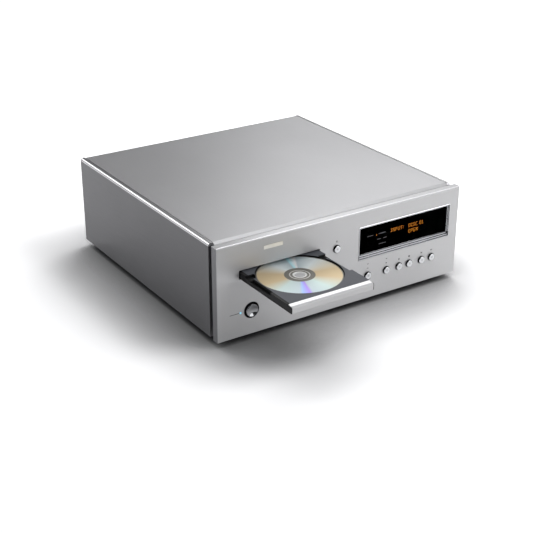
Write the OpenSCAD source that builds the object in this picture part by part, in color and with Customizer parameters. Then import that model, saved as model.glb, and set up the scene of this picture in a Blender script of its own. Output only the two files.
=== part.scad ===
// Disc player with a motor-driven tray, shown with the tray out.
// Frame: +X to the right seen from the front, the front faces -Y, +Z up, millimetres.
// The origin is on the floor, under the middle of the player's box.

/* [Case] */
// Width of the front panel
panel_w = 430; // [424:1:450]
// Height of the front panel
panel_h = 143; // [140:1:150]
// Thickness of the front panel
panel_t = 12; // [10:0.5:14]
// Chamfer along the front panel's edges
panel_chamfer = 1.2; // [0.5:0.1:2]
// Depth from the front face to the rear ends of the side panels
case_depth = 429; // [420:1:460]
// Shadow gap between the front panel and the side panels
side_gap = 10; // [7:0.5:12]
// Thickness of a side panel
side_t = 12; // [11:0.5:14]
// How far a side panel stands back from the end of the front panel
side_inset = 1; // [0.5:0.1:2]
// How far a side panel's lower edge stands above the front panel's lower edge
side_lift = 1; // [0.5:0.1:2]
// Width of the rail along the top of a side panel
rail_w = 7; // [6:0.5:8]
// Rounding of the rail's outer edge
rail_r = 4; // [2:0.5:5]
// Thickness of the top cover
cover_t = 4; // [3:0.5:5]
// Gap between the front panel and the top cover
cover_gap = 6; // [4:0.5:8]
// Length of the bevel along the front edge of the top cover
cover_bevel = 6; // [4:0.5:8]
// Groove between the top cover and a rail
cover_groove = 1; // [0.6:0.1:1.5]
// Thickness of the sheet metal of the base, the rear panel and the front frame
sheet_t = 2; // [1.5:0.1:2.5]
// Depth of the front frame's flanges
frame_depth = 24; // [22:0.5:28]
// How far the rear panel stands inside the rear ends of the side panels
rear_recess = 6; // [5:0.5:8]
// Height of the front panel's lower edge above the floor
foot_h = 10; // [8:0.5:14]
// Diameter of a foot
foot_d = 52; // [44:1:58]
// Height of the rubber pad under a foot
pad_h = 2.5; // [2:0.1:4]
// Distance of the feet from the ends of the front panel
foot_inset = 48; // [40:1:60]
// Diameter of a screw shank
screw_d = 4; // [3:0.1:4.5]

/* [Front] */
// Middle of the tray slot, from the left end of the front panel
slot_inset = 103; // [99:0.5:107]
// Middle of the tray slot, above the front panel's lower edge
slot_z = 95.5; // [94:0.5:97]
// Width of the tray slot
slot_w = 135; // [134:0.5:138]
// Height of the tray slot
slot_h = 13.4; // [13:0.1:15]
// Middle of the display, from the right end of the front panel
display_inset = 104; // [102:0.5:108]
// Middle of the display bezel, above the front panel's lower edge
display_z = 91.8; // [88:0.2:96]
// Width of the display window
window_w = 164; // [156:0.5:168]
// Height of the display window
window_h = 41; // [36:0.5:44]
// Width of the display bezel's sides and top
bezel_border = 4; // [3:0.2:5]
// Height of the display bezel's lower ledge
bezel_sill = 8; // [6:0.2:9]
// Depth of the display window behind the front face
window_recess = 3; // [2:0.2:4]
// Thickness of the display window
window_t = 2.5; // [2:0.1:3]
// Diameter of a push button
button_d = 12; // [10:0.2:13]
// How far a push button stands out of the front face
button_out = 3; // [2:0.1:4]
// Travel of a push button
button_travel = 1.5; // [1:0.1:1.8]
// Height of the button row above the front panel's lower edge
button_z = 38; // [34:0.5:42]
// Input button, from the right end of the front panel
input_inset = 172; // [165:0.5:175]
// First button of the transport row, from the right end of the front panel
transport_inset = 137; // [135:0.5:141]
// Wide step between the transport buttons
wide_step = 24; // [22:0.1:25]
// Narrow step between two paired transport buttons
pair_step = 19.6; // [18:0.1:21]
// How far the open and close button stands left of the middle between slot and display
eject_shift = 5.25; // [0.25:0.5:8.25]
// Open and close button, above the front panel's lower edge
eject_z = 95; // [90:0.5:100]
// Running clearance around a button, on the radius
button_clearance = 0.3; // [0.2:0.05:0.4]
// Diameter of the power button
power_d = 19; // [17:0.2:20]
// Diameter of the dished ring around the power button
power_ring_d = 25; // [23:0.2:27]
// Power button, from the left end of the front panel
power_inset = 55.4; // [52:0.2:58]
// Travel of the power button
power_travel = 2.5; // [1.5:0.1:2.8]
// Power lamp, from the left end of the front panel
lamp_inset = 37.3; // [35:0.1:39]
// Diameter of the power lamp
lamp_d = 2.6; // [2:0.1:3]
// Middle of the small plate, from the left end of the front panel
badge_inset = 91.4; // [87:0.2:95]
// Middle of the small plate, above the front panel's lower edge
badge_z = 126.9; // [124:0.1:129]
// Width of the small plate
badge_w = 31; // [26:0.5:36]
// Height of the small plate
badge_h = 5.5; // [4:0.1:7]

/* [Disc and tray] */
// Diameter of the disc
disc_d = 120; // [119.6:0.1:120.4]
// Diameter of the disc's hole
disc_hole_d = 15; // [14.9:0.05:15.1]
// Thickness of the disc
disc_t = 1.2; // [1.1:0.05:1.4]
// Distance the tray comes out, and its travel
tray_out = 126; // [122:0.5:128]
// Clearance between the tray and each end of the slot
tray_clearance = 1; // [0.8:0.1:1.5]
// Distance of the tray's underside above the slot's lower edge
tray_lift = 1.4; // [1:0.1:2]
// Height of the tray
tray_h = 10; // [9.6:0.1:10.4]
// Length of the tray with its lip
tray_len = 176; // [172:0.5:180]
// Depth of the disc seat under the tray's top
well_depth = 3.3; // [3:0.1:3.6]
// Front to back depth of the tray lip
lip_depth = 10; // [8:0.2:12]
// Thickness of a tray wall
tray_wall = 2.5; // [2:0.1:3]
// Distance of the disc's middle behind the lip's face
disc_back = 78.4; // [76:0.2:80]

/* [Drive] */
// Gear module of the loading drive
gear_module = 1; // [0.9:0.05:1]
// Teeth of the pinion that drives the tray's rack
pinion_teeth = 20; // [19:1:21]
// Teeth of the large loading gear
gear_teeth = 36; // [34:2:38]
// Teeth of the small gear on the belt pulley
pulley_teeth = 12; // [11:1:13]
// Play between two gear flanks
backlash = 0.15; // [0.1:0.01:0.2]
// Groove diameter of the belt pulley
pulley_d = 22; // [20:0.5:24]
// Groove diameter of the motor pulley
motor_pulley_d = 8; // [7:0.2:9]
// Width of the drive belt
belt_d = 1.6; // [1.2:0.1:2]
// Rise of the traverse from the loading to the playing height
lift = 7.5; // [7.2:0.1:7.8]
// Slide of the lift cam for one unit of rise
cam_run = 2; // [1.8:0.1:2.2]
// Innermost reading radius
read_inner = 24; // [23:0.5:26]
// Outermost reading radius
read_outer = 58; // [54:0.5:59]
// Diameter of a guide rod
rod_d = 3; // [2.6:0.1:3.4]
// Spacing of the two guide rods
rod_spacing = 36; // [34:0.5:38]
// Diameter of the sled's lead screw
lead_d = 4; // [3.6:0.1:4.4]
// Radial clearance of a running fit
running_fit = 0.05; // [0.02:0.01:0.08]
// Height of a rubber isolator under the loader frame
isolator_h = 8; // [6:0.5:9]

/* [Inside and rear] */
// Diameter of the transformer
transformer_d = 118; // [100:1:124]
// Height of the transformer
transformer_h = 58; // [50:1:66]
// Thickness of a circuit board
board_t = 1.6; // [1.2:0.1:2]
// Height of a post under a circuit board
post_h = 12; // [10:0.5:16]
// Diameter of a filter capacitor
capacitor_d = 25; // [20:0.5:27]
// Height of a filter capacitor
capacitor_h = 42; // [34:1:50]
// How far a line socket stands out of the rear panel
jack_reach = 12; // [10:0.5:14]
// Diameter of a line socket's barrel
jack_d = 8.3; // [8.2:0.1:8.6]
// Width of the mains inlet's flange
inlet_w = 48; // [46:0.5:50]

/* [Hidden] */
$fn = 48;

// Colours, as the photograph shows the pieces
silver = [0.74, 0.74, 0.75];
bright_metal = [0.85, 0.85, 0.86];
steel = [0.6, 0.61, 0.63];
dark_plastic = [0.07, 0.07, 0.08];
rubber_black = [0.05, 0.05, 0.05];
board_green = [0.1, 0.3, 0.18];
brass_gold = [0.8, 0.65, 0.3];
gear_white = [0.88, 0.87, 0.82];

// Places along Y: the player's box, tray out, is centred on the origin
rear_reach = max(jack_reach - rear_recess, 0);
front_y = (tray_out - case_depth - rear_reach) / 2;
panel_back_y = front_y + panel_t;
frame_y = panel_back_y + sheet_t;
cover_y = panel_back_y + cover_gap;
side_y = panel_back_y + side_gap;
side_end_y = front_y + case_depth;
rear_y = side_end_y - rear_recess;
lip_y = front_y - tray_out;
tray_end_y = lip_y + tray_len;
disc_y = lip_y + disc_back;
spindle_y = disc_y + tray_out;

// Places along X
side_x = panel_w / 2 - side_inset;
inner_x = side_x - side_t;
fit_gap = 0.2;
sheet_x = inner_x - fit_gap;
rail_x = side_x - rail_w;
cover_x = rail_x - cover_groove;

// Places along Z
panel_z = foot_h;
top_z = panel_z + panel_h;
side_z = panel_z + side_lift;
base_z = side_z + side_lift;
floor_z = base_z + sheet_t;
cover_z = top_z - cover_t;

// Front controls
switch_gap = 0.2;
flange_out = 1.5;
button_back_y = frame_y + switch_gap;
switch_face_y = button_back_y + button_travel + switch_gap;
switch_h = 4;
front_board_y = switch_face_y + switch_h;
left_end = -panel_w / 2;
right_end = panel_w / 2;
slot_x = left_end + slot_inset;
display_x = right_end - display_inset;
bezel_w = window_w + 2 * bezel_border;
eject_x = (slot_x + slot_w / 2 + display_x - bezel_w / 2) / 2 - eject_shift;
input_x = right_end - input_inset;
transport_x = right_end - transport_inset;
power_x = left_end + power_inset;
lamp_x = left_end + lamp_inset;
badge_x = left_end + badge_inset;
transport_xs = [
    transport_x,
    transport_x + wide_step,
    transport_x + wide_step + pair_step,
    transport_x + 2 * wide_step + pair_step,
    transport_x + 2 * wide_step + 2 * pair_step
];
row_z = panel_z + button_z;
button_spots = concat(
    [[eject_x, panel_z + eject_z], [input_x, row_z]],
    [for (x = transport_xs) [x, row_z]]
);
bezel_h = window_h + bezel_border + bezel_sill;
bezel_z = panel_z + display_z - bezel_h / 2;
window_z = bezel_z + bezel_sill;
bezel_proud = 0.8;
bezel_depth = panel_t - 1;
tube_h = window_h - 8;
tube_w = window_w - 14;
power_z = row_z - 0.5;
power_out = 2.5;
badge_recess = 1;

// Disc and tray
slot_low_z = panel_z + slot_z - slot_h / 2;
tray_w = slot_w - 2 * tray_clearance;
tray_z = slot_low_z + tray_lift;
tray_top_z = tray_z + tray_h;
seat_z = tray_top_z - well_depth;
well_floor_t = 1.5;
well_z = seat_z - well_floor_t;
tray_floor_t = 2;
tray_under_z = well_z - tray_floor_t;
well_d = disc_d + 2;
seat_w = 3.5;
disc_gap = 0.1;
disc_z = seat_z + disc_gap;
cheek_t = 1.2;
lip_slope = 1.6;
spindle_hole_d = 38;

// Loader frame around the tray
guide_gap = 0.3;
frame_wall = 3;
frame_in_x = tray_w / 2 + guide_gap;
frame_out_x = frame_in_x + frame_wall;
frame_front_y = frame_y + 3;
frame_end_y = tray_end_y + tray_out + 10;
deck_t = 3;
deck_z = tray_z - 12.2;
deck_top_z = deck_z + deck_t;
guide_z = tray_z - guide_gap;
guide_h = 4;
guide_w = 4;
bridge_z = tray_top_z + 6;
bridge_t = 2;
stand_z = deck_z - isolator_h;
stand_front_y = spindle_y - 26;
stand_x = frame_out_x + 4;

// Loading drive
pinion_r = gear_module * pinion_teeth / 2;
gear_r = gear_module * gear_teeth / 2;
pulley_gear_r = gear_module * pulley_teeth / 2;
gear_inset = 21.5;
gear_x = tray_w / 2 - gear_inset;
gear_back = 21;
gear_y = frame_y + gear_back;
pulley_x = gear_x - gear_r - pulley_gear_r;
belt_reach = 46;
motor_x = pulley_x - belt_reach;
addendum = 0.8 * gear_module;
dedendum = 1.1 * gear_module;
gear_h = 3;
gear_z = deck_top_z + 0.5;
pulley_z = gear_z + gear_h + 0.5;
pulley_h = 3.2;
pinion_h = 2.6;
pinion_z = tray_under_z - guide_gap - pinion_h;
post_d = 4;
rack_x = gear_x + pinion_r;
rack_back = 4;
rack_h = tray_under_z - tray_z;
motor_d = 20;
motor_h = 18;
shaft_d = 2;
belt_gap = 0.3;

// Traverse, with its drive at the low, loading height
clamp_gap = 0.3;
platform_top_z = disc_z - clamp_gap - lift;
platform_d = 28;
platform_h = 3.5;
nose_h = 3;
nose_d = disc_hole_d - 0.6;
plate_t = 2;
plate_z = platform_top_z - 13;
plate_top_z = plate_z + plate_t;
plate_left = 44;
plate_right = 38;
plate_ahead = 18;
plate_behind = 92;
plate_x = [-plate_left, plate_right];
plate_y = [spindle_y - plate_ahead, spindle_y + plate_behind];
opening_gap = 1.5;
spindle_motor_d = 26;
rod_z = plate_top_z + 3;
rod_span = [spindle_y + 13, spindle_y + read_outer + 28];
rod_seat_t = 3;
sled_front = 7;
sled_len = 28;
sled_top_z = platform_top_z - 3;
lens_y = spindle_y + read_inner;
lens_d = 7;
lens_top_z = platform_top_z - 1.5;
lens_bottom_z = sled_top_z - 2;
lens_pocket = 0.7;
screw_x = -rod_spacing / 2 - 12;
screw_z = rod_z - 1;
sled_motor_d = 10;
lift_post_d = 4;
lift_post_spots = [
    [plate_x[0] + 5, plate_y[0] + 5], [plate_x[1] - 5, plate_y[0] + 5],
    [plate_x[0] + 5, plate_y[1] - 5], [plate_x[1] - 5, plate_y[1] - 5]
];
cam_t = 3;
cam_gap = 1.2;
cam_y = plate_y[0] - cam_gap - cam_t;
cam_pin_d = 3;
cam_pin_xs = [-24, 14];
cam_slot_gap = 0.35;
cam_h = lift + 8;
cam_slide = lift * cam_run;
puck_d = 29;
puck_z = tray_top_z + 0.6;
puck_flange_d = 36;
puck_flange_t = 2;

// Inside and rear
transformer_inset = 103;
transformer_back = 140;
transformer_x = right_end - transformer_inset;
transformer_y = front_y + transformer_back;
board_side_gap = 23;
board_split_x = 23;
board_split_half = 5;
power_board_back = 215;
power_board_depth = 100;
audio_board_back = 232;
audio_board_gap = 16;
power_board_x = [board_split_x + board_split_half, right_end - board_side_gap];
power_board_y = [front_y + power_board_back, front_y + power_board_back + power_board_depth];
audio_board_x = [left_end + board_side_gap, board_split_x - board_split_half];
audio_board_y = [front_y + audio_board_back, rear_y - audio_board_gap];
board_z = floor_z + post_h;
board_inset = 6;
board_post_d = 7;
socket_up = 72;
socket_z = panel_z + socket_up;
line_inset = 163;
line_step = 24;
line_xs = [left_end + line_inset, left_end + line_inset + line_step];
balanced_inset = 65;
balanced_step = 46;
balanced_xs = [left_end + balanced_inset, left_end + balanced_inset + balanced_step];
digital_gap = 3;
optical_step = 26;
digital_x = board_split_x + digital_gap;
optical_x = digital_x + optical_step;
inlet_inset = 65;
inlet_x = right_end - inlet_inset;
inlet_up = 46;
inlet_z = panel_z + inlet_up;
inlet_h = 28;
pin_setback = 5;
screw_head_d = 1.8 * screw_d;
screw_head_h = 0.6 * screw_d;
screw_gap = 0.1;

// The low and high ends of a span about its middle
function around(middle, half) = [middle - half, middle + half];

// A box between two corners, each axis given as [low, high]
module block(x, y, z)
    translate([x[0], y[0], z[0]]) cube([x[1] - x[0], y[1] - y[0], z[1] - z[0]]);

// Round bars along the three axes, from low to high
module bar_x(d, x, y, z)
    translate([x[0], y, z]) rotate([0, 90, 0]) cylinder(d = d, h = x[1] - x[0]);

module bar_y(d, x, y, z)
    translate([x, y[0], z]) rotate([-90, 0, 0]) cylinder(d = d, h = y[1] - y[0]);

module bar_z(d, x, y, z)
    translate([x, y, z[0]]) cylinder(d = d, h = z[1] - z[0]);

// A long square bar on its edge, which cuts a 45 degree chamfer off an edge along X or along Z
module chamfer_outline(size) polygon([[size, 0], [0, size], [-size, 0], [0, -size]]);

module chamfer_x(size, x, y, z)
    translate([x[0], y, z]) rotate([90, 0, 90]) linear_extrude(x[1] - x[0]) chamfer_outline(size);

module chamfer_z(size, x, y, z)
    translate([x, y, z[0]]) linear_extrude(z[1] - z[0]) chamfer_outline(size);

// Moves a shape to the tray's own axis
module on_tray_axis() translate([slot_x, 0, 0]) children();

// Half the angle that a tooth covers at radius r, for an involute of 20 degrees
function involute_of(angle) = tan(angle) * 180 / PI - angle;
function tooth_half_angle(r, pitch_r, teeth) =
    let (base_r = pitch_r * cos(20))
    (180 / teeth - backlash / pitch_r * 90 / PI) / 2 + involute_of(20)
        - (r > base_r ? involute_of(acos(base_r / r)) : 0);

// A spur gear's outline: each tooth rises along one flank and falls along the other
module gear_outline(teeth, turn = 0) {
    pitch_r = gear_module * teeth / 2;
    radii = [for (k = [0 : 5]) pitch_r - dedendum + k * (addendum + dedendum) / 5];
    polygon([
        for (tooth = [0 : teeth - 1])
            for (flank = [-1, 1])
                for (k = [0 : 5])
                    let (
                        r = flank < 0 ? radii[k] : radii[5 - k],
                        angle = turn + 360 / teeth * tooth + flank * tooth_half_angle(r, pitch_r, teeth)
                    )
                    r * [cos(angle), sin(angle)]
    ]);
}

// Case

module screw(length) {
    translate([0, 0, -screw_head_h]) cylinder(d = screw_head_d, h = screw_head_h);
    cylinder(d = screw_d, h = length);
}

front_screw_xs = [-sheet_x + 14, eject_x, sheet_x - 14];
front_screw_zs = [panel_z + 16, cover_z - 9];
front_screw_len = 8;
side_screw_front = 40;
side_screw_rear = 30;
side_screw_step = (rear_y - side_y - side_screw_front - side_screw_rear) / 3;
side_screw_ys = [for (i = [0 : 3]) side_y + side_screw_front + i * side_screw_step];
side_screw_z = floor_z + 9;
base_flange_h = 16;
foot_ys = [side_y + 42, side_end_y - 50];
foot_x = panel_w / 2 - foot_inset;
foot_screw_len = 9;
cover_flange_t = 3;
cover_flange_h = 14;
cover_flange_y = rear_y + fit_gap;
cover_screw_xs = [-0.8 * sheet_x, 0, 0.8 * sheet_x];
cover_screw_z = cover_z - cover_flange_h / 2;

module front_panel() {
    color(silver) difference() {
        block([-panel_w / 2, panel_w / 2], [front_y, panel_back_y], [panel_z, top_z]);
        for (z = [panel_z, top_z])
            chamfer_x(panel_chamfer, [-panel_w, panel_w], front_y, z);
        for (side = [-1, 1])
            chamfer_z(panel_chamfer, side * panel_w / 2, front_y, [0, 2 * top_z]);
        block(around(slot_x, slot_w / 2), [front_y - 1, panel_back_y + 1],
              [slot_low_z, slot_low_z + slot_h]);
        block(around(display_x, bezel_w / 2 + fit_gap), [front_y - 1, panel_back_y + 1],
              [bezel_z - fit_gap, bezel_z + bezel_h + fit_gap]);
        block(around(badge_x, badge_w / 2 + fit_gap), [front_y - 1, front_y + badge_recess],
              around(panel_z + badge_z, badge_h / 2 + fit_gap));
        for (spot = button_spots)
            bar_y(button_d + 2 * button_clearance, spot[0], [front_y - 1, panel_back_y + 1], spot[1]);
        bar_y(power_ring_d + 2 * running_fit, power_x, [front_y - 1, panel_back_y + 1], power_z);
        bar_y(lamp_d + 2 * running_fit, lamp_x, [front_y - 1, panel_back_y + 1], power_z);
        for (x = front_screw_xs)
            for (z = front_screw_zs)
                bar_y(screw_d + 2 * screw_gap, x, [panel_back_y - front_screw_len, panel_back_y + 1], z);
    }
}

module front_frame() {
    flange_y = panel_back_y + frame_depth;
    slot_margin = 4;
    color(steel) difference() {
        block([-sheet_x, sheet_x], [panel_back_y, flange_y], [floor_z, cover_z]);
        block([-sheet_x + sheet_t, sheet_x - sheet_t], [frame_y, flange_y + 1],
              [floor_z + sheet_t, cover_z - sheet_t]);
        block(around(slot_x, slot_w / 2 + slot_margin), [panel_back_y - 1, frame_y + 1],
              [slot_low_z - slot_margin, slot_low_z + slot_h + slot_margin]);
        block(around(display_x, tube_w / 2 + 2), [panel_back_y - 1, frame_y + 1],
              around(window_z + window_h / 2, tube_h / 2 + 2));
        for (spot = button_spots)
            bar_y(button_d + 2 * flange_out + 2, spot[0], [panel_back_y - 1, frame_y + 1], spot[1]);
        bar_y(power_ring_d + 2, power_x, [panel_back_y - 1, frame_y + 1], power_z);
        bar_y(lamp_d + 1, lamp_x, [panel_back_y - 1, frame_y + 1], power_z);
        for (x = front_screw_xs)
            for (z = front_screw_zs)
                bar_y(screw_d + 2 * screw_gap, x, [panel_back_y - 1, frame_y + 1], z);
    }
}

// The right side panel; the left one is its mirror image
module side_panel() {
    difference() {
        block([inner_x, side_x], [side_y, side_end_y], [side_z, top_z]);
        block([inner_x - 1, rail_x], [side_y - 1, side_end_y + 1], [cover_z, top_z + 1]);
        difference() {
            block([side_x - rail_r, side_x + 1], [side_y - 1, side_end_y + 1], [top_z - rail_r, top_z + 1]);
            bar_y(2 * rail_r, side_x - rail_r, [side_y - 2, side_end_y + 2], top_z - rail_r);
        }
        for (y = side_screw_ys)
            bar_x(screw_d + 2 * screw_gap, [inner_x - 1, inner_x + side_t - 4], y, side_screw_z);
    }
}

module side_panel_right() color(silver) side_panel();

module side_panel_left() color(silver) mirror([1, 0, 0]) side_panel();

module top_cover() {
    end_y = cover_flange_y + cover_flange_t;
    bevel_h = cover_t - 1.5;
    color(silver) difference() {
        union() {
            block([-cover_x, cover_x], [cover_y, end_y], [cover_z, top_z]);
            block([-sheet_x, sheet_x], [cover_flange_y, end_y], [cover_z - cover_flange_h, cover_z]);
        }
        translate([-panel_w, cover_y, top_z - bevel_h]) rotate([atan2(bevel_h, cover_bevel), 0, 0])
            cube([2 * panel_w, 2 * cover_bevel, 2 * bevel_h]);
        for (x = cover_screw_xs)
            bar_y(screw_d + 2 * screw_gap, x, [cover_flange_y - 1, end_y + 1], cover_screw_z);
    }
}

module base_plate() {
    vent_w = 3;
    vent_len = 40;
    vent_step = 9;
    vent_x = (power_board_x[0] + power_board_x[1]) / 2;
    color(steel) difference() {
        union() {
            block([-sheet_x, sheet_x], [frame_y, rear_y], [base_z, floor_z]);
            for (side = [-1, 1])
                block(side > 0 ? [sheet_x - sheet_t, sheet_x] : [-sheet_x, -sheet_x + sheet_t],
                      [panel_back_y + frame_depth + 1, rear_y - sheet_t - 1],
                      [base_z, floor_z + base_flange_h]);
        }
        for (i = [-4 : 4])
            block(around(vent_x + i * vent_step, vent_w / 2),
                  [power_board_y[0] + 30, power_board_y[0] + 30 + vent_len], [base_z - 1, floor_z + 1]);
        for (side = [-1, 1])
            for (y = side_screw_ys)
                bar_x(screw_d + 2 * screw_gap, around(side * sheet_x, 4), y, side_screw_z);
        for (side = [-1, 1])
            for (y = foot_ys)
                bar_z(screw_d + 2 * screw_gap, side * foot_x, y, [base_z - 1, floor_z + 1]);
    }
}

module rear_panel() {
    hole_gap = 0.3;
    y = [rear_y - sheet_t - 1, rear_y + 1];
    color(steel) difference() {
        block([-sheet_x, sheet_x], [rear_y - sheet_t, rear_y], [floor_z, cover_z]);
        for (x = concat(line_xs, [digital_x]))
            bar_y(jack_body_d + 2 * hole_gap, x, y, socket_z);
        for (x = balanced_xs)
            bar_y(balanced_body_d + 2 * hole_gap, x, y, socket_z);
        block(around(optical_x, optical_w / 2 + hole_gap), y,
              around(socket_z, optical_w / 2 + hole_gap));
        block(around(inlet_x, inlet_body_w / 2 + hole_gap), y,
              around(inlet_z, inlet_body_h / 2 + hole_gap));
        for (x = cover_screw_xs)
            bar_y(screw_d + 2 * screw_gap, x, y, cover_screw_z);
    }
}

module feet() {
    groove_z = pad_h + (base_z - pad_h) * 0.55;
    groove_d = 2;
    color(bright_metal) for (side = [-1, 1])
        for (y = foot_ys)
            translate([side * foot_x, y, 0]) difference() {
                bar_z(foot_d, 0, 0, [pad_h, base_z]);
                difference() {
                    bar_z(foot_d + 2, 0, 0, [groove_z, groove_z + groove_d]);
                    bar_z(foot_d - 2 * groove_d, 0, 0, [groove_z - 1, groove_z + groove_d + 1]);
                }
                bar_z(screw_d + 2 * screw_gap, 0, 0, [base_z - foot_screw_len + sheet_t, base_z + 1]);
            }
}

module foot_pads() {
    color(rubber_black) for (side = [-1, 1])
        for (y = foot_ys)
            bar_z(foot_d - 8, side * foot_x, y, [0, pad_h]);
}

module case_screws() {
    color(steel) {
        for (x = front_screw_xs)
            for (z = front_screw_zs)
                translate([x, frame_y, z]) rotate([90, 0, 0]) screw(front_screw_len);
        for (side = [-1, 1])
            for (y = side_screw_ys)
                translate([side * (sheet_x - sheet_t), y, side_screw_z])
                    rotate([0, side * 90, 0]) screw(side_t - 4);
        for (side = [-1, 1])
            for (y = foot_ys)
                translate([side * foot_x, y, floor_z]) rotate([180, 0, 0]) screw(foot_screw_len - 1);
        for (x = cover_screw_xs)
            translate([x, cover_flange_y + cover_flange_t, cover_screw_z]) rotate([90, 0, 0]) screw(9);
    }
}

// Front controls

module display_bezel() {
    rim = 1.5;
    sill_cut = bezel_sill - 3;
    x = around(display_x, bezel_w / 2);
    color(bright_metal) difference() {
        block(x, [front_y - bezel_proud, front_y + bezel_depth], [bezel_z, bezel_z + bezel_h]);
        block(around(display_x, window_w / 2), [front_y - 2, panel_back_y], [window_z, window_z + window_h]);
        block(around(display_x, window_w / 2 + rim), [front_y + window_recess, panel_back_y],
              [window_z - rim, window_z + window_h + rim]);
        chamfer_x(sill_cut, x, front_y - bezel_proud, window_z);
        chamfer_x(rim, x, front_y - bezel_proud, window_z + window_h);
        for (side = [-1, 1])
            chamfer_z(rim, display_x + side * window_w / 2, front_y - bezel_proud,
                      [window_z, window_z + window_h]);
    }
}

module display_window() {
    rim = 1.4;
    window_y = front_y + window_recess;
    color([0.03, 0.03, 0.04, 0.9])
        block(around(display_x, window_w / 2 + rim), [window_y, window_y + window_t],
              [window_z - rim, window_z + window_h + rim]);
}

module display_tube() {
    tube_y = front_y + window_recess + window_t + 0.5;
    color([0.15, 0.2, 0.2])
        block(around(display_x, tube_w / 2), [tube_y, front_board_y],
              around(window_z + window_h / 2, tube_h / 2));
}

display_board_x = around(display_x, bezel_w / 2 - 4);
display_board_z = [window_z - 6, window_z + window_h + 5];

module display_board() {
    color(board_green)
        block(display_board_x, [front_board_y, front_board_y + board_t], display_board_z);
}

module badge_plate() {
    proud = 0.3;
    color([0.86, 0.85, 0.78])
        block(around(badge_x, badge_w / 2), [front_y - proud, front_y + badge_recess],
              around(panel_z + badge_z, badge_h / 2));
}

// A ring with a cone-shaped dish, and the button that slides through it
module power_ring() {
    dish = 3;
    color([0.3, 0.3, 0.31]) difference() {
        bar_y(power_ring_d, power_x, [front_y, panel_back_y], power_z);
        bar_y(power_d + 2 * button_clearance, power_x, [front_y - 1, panel_back_y + 1], power_z);
        translate([power_x, front_y - 0.01, power_z]) rotate([-90, 0, 0])
            cylinder(d1 = power_ring_d - 1, d2 = power_d + 2 * button_clearance, h = dish);
    }
}

module power_button() {
    hollow = 1.2;
    bowl_r = 45;
    color(bright_metal) difference() {
        union() {
            bar_y(power_d, power_x, [front_y - power_out, button_back_y], power_z);
            bar_y(power_d + 2 * flange_out, power_x, [panel_back_y + switch_gap, button_back_y], power_z);
        }
        translate([power_x, front_y - power_out - bowl_r + hollow, power_z]) sphere(r = bowl_r);
    }
}

module power_switch() {
    body = 8;
    ear = 3;
    ear_x = power_ring_d / 2 + 2;
    switch_y = button_back_y + power_travel + switch_gap;
    color(dark_plastic) {
        block(around(power_x, ear_x + ear), [switch_y, switch_y + 20], around(power_z, body));
        for (side = [-1, 1])
            block(around(power_x + side * (ear_x + ear / 2), ear / 2), [frame_y, switch_y],
                  around(power_z, body));
    }
}

module power_lamp() {
    color([0.35, 0.7, 1]) bar_y(lamp_d, lamp_x, [front_y - 0.4, panel_back_y], power_z);
}

// A push button with the flange that keeps it behind the front panel
module push_button(spot) {
    edge = 0.6;
    color(bright_metal) {
        bar_y(button_d, spot[0], [front_y - button_out + edge, button_back_y], spot[1]);
        translate([spot[0], front_y - button_out, spot[1]]) rotate([-90, 0, 0])
            cylinder(d1 = button_d - 2 * edge, d2 = button_d, h = edge);
        bar_y(button_d + 2 * flange_out, spot[0], [panel_back_y + switch_gap, button_back_y], spot[1]);
    }
}

module open_close_button() push_button(button_spots[0]);

module input_button() push_button(button_spots[1]);

module play_button() push_button(button_spots[2]);

module pause_button() push_button(button_spots[3]);

module stop_button() push_button(button_spots[4]);

module previous_button() push_button(button_spots[5]);

module next_button() push_button(button_spots[6]);

key_board_margin = 11;
eject_board_half = 5.5;
key_board_x = [eject_x - key_board_margin, transport_xs[4] + key_board_margin];
key_board_z = around(row_z, key_board_margin);

module key_board() {
    y = [front_board_y, front_board_y + board_t];
    color(board_green) {
        block(key_board_x, y, key_board_z);
        block(around(eject_x, eject_board_half), y,
              [key_board_z[1] - 1, button_spots[0][1] + key_board_margin]);
    }
}

module key_switches() {
    half = 3.2;
    color(dark_plastic) for (spot = button_spots)
        block(around(spot[0], half), [switch_face_y, front_board_y], around(spot[1], half));
}

// Disc and tray

notch_y = [disc_y - 29, disc_y + 20];
step_y = [disc_y + 20, disc_y + 33];
tray_front_y = lip_y + lip_depth;

module rack_teeth() {
    pitch = PI * gear_module;
    half = (pitch - backlash) / 4;
    tip = half - addendum * tan(20);
    root = half + dedendum * tan(20);
    last = ceil((tray_out + 6) / pitch);
    for (k = [-last : 2])
        translate([rack_x, gear_y + (k + 0.5) * pitch, tray_z]) linear_extrude(rack_h)
            polygon([[dedendum + 0.1, -root], [dedendum, -root], [-addendum, -tip],
                     [-addendum, tip], [dedendum, root], [dedendum + 0.1, root]]);
}

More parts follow.
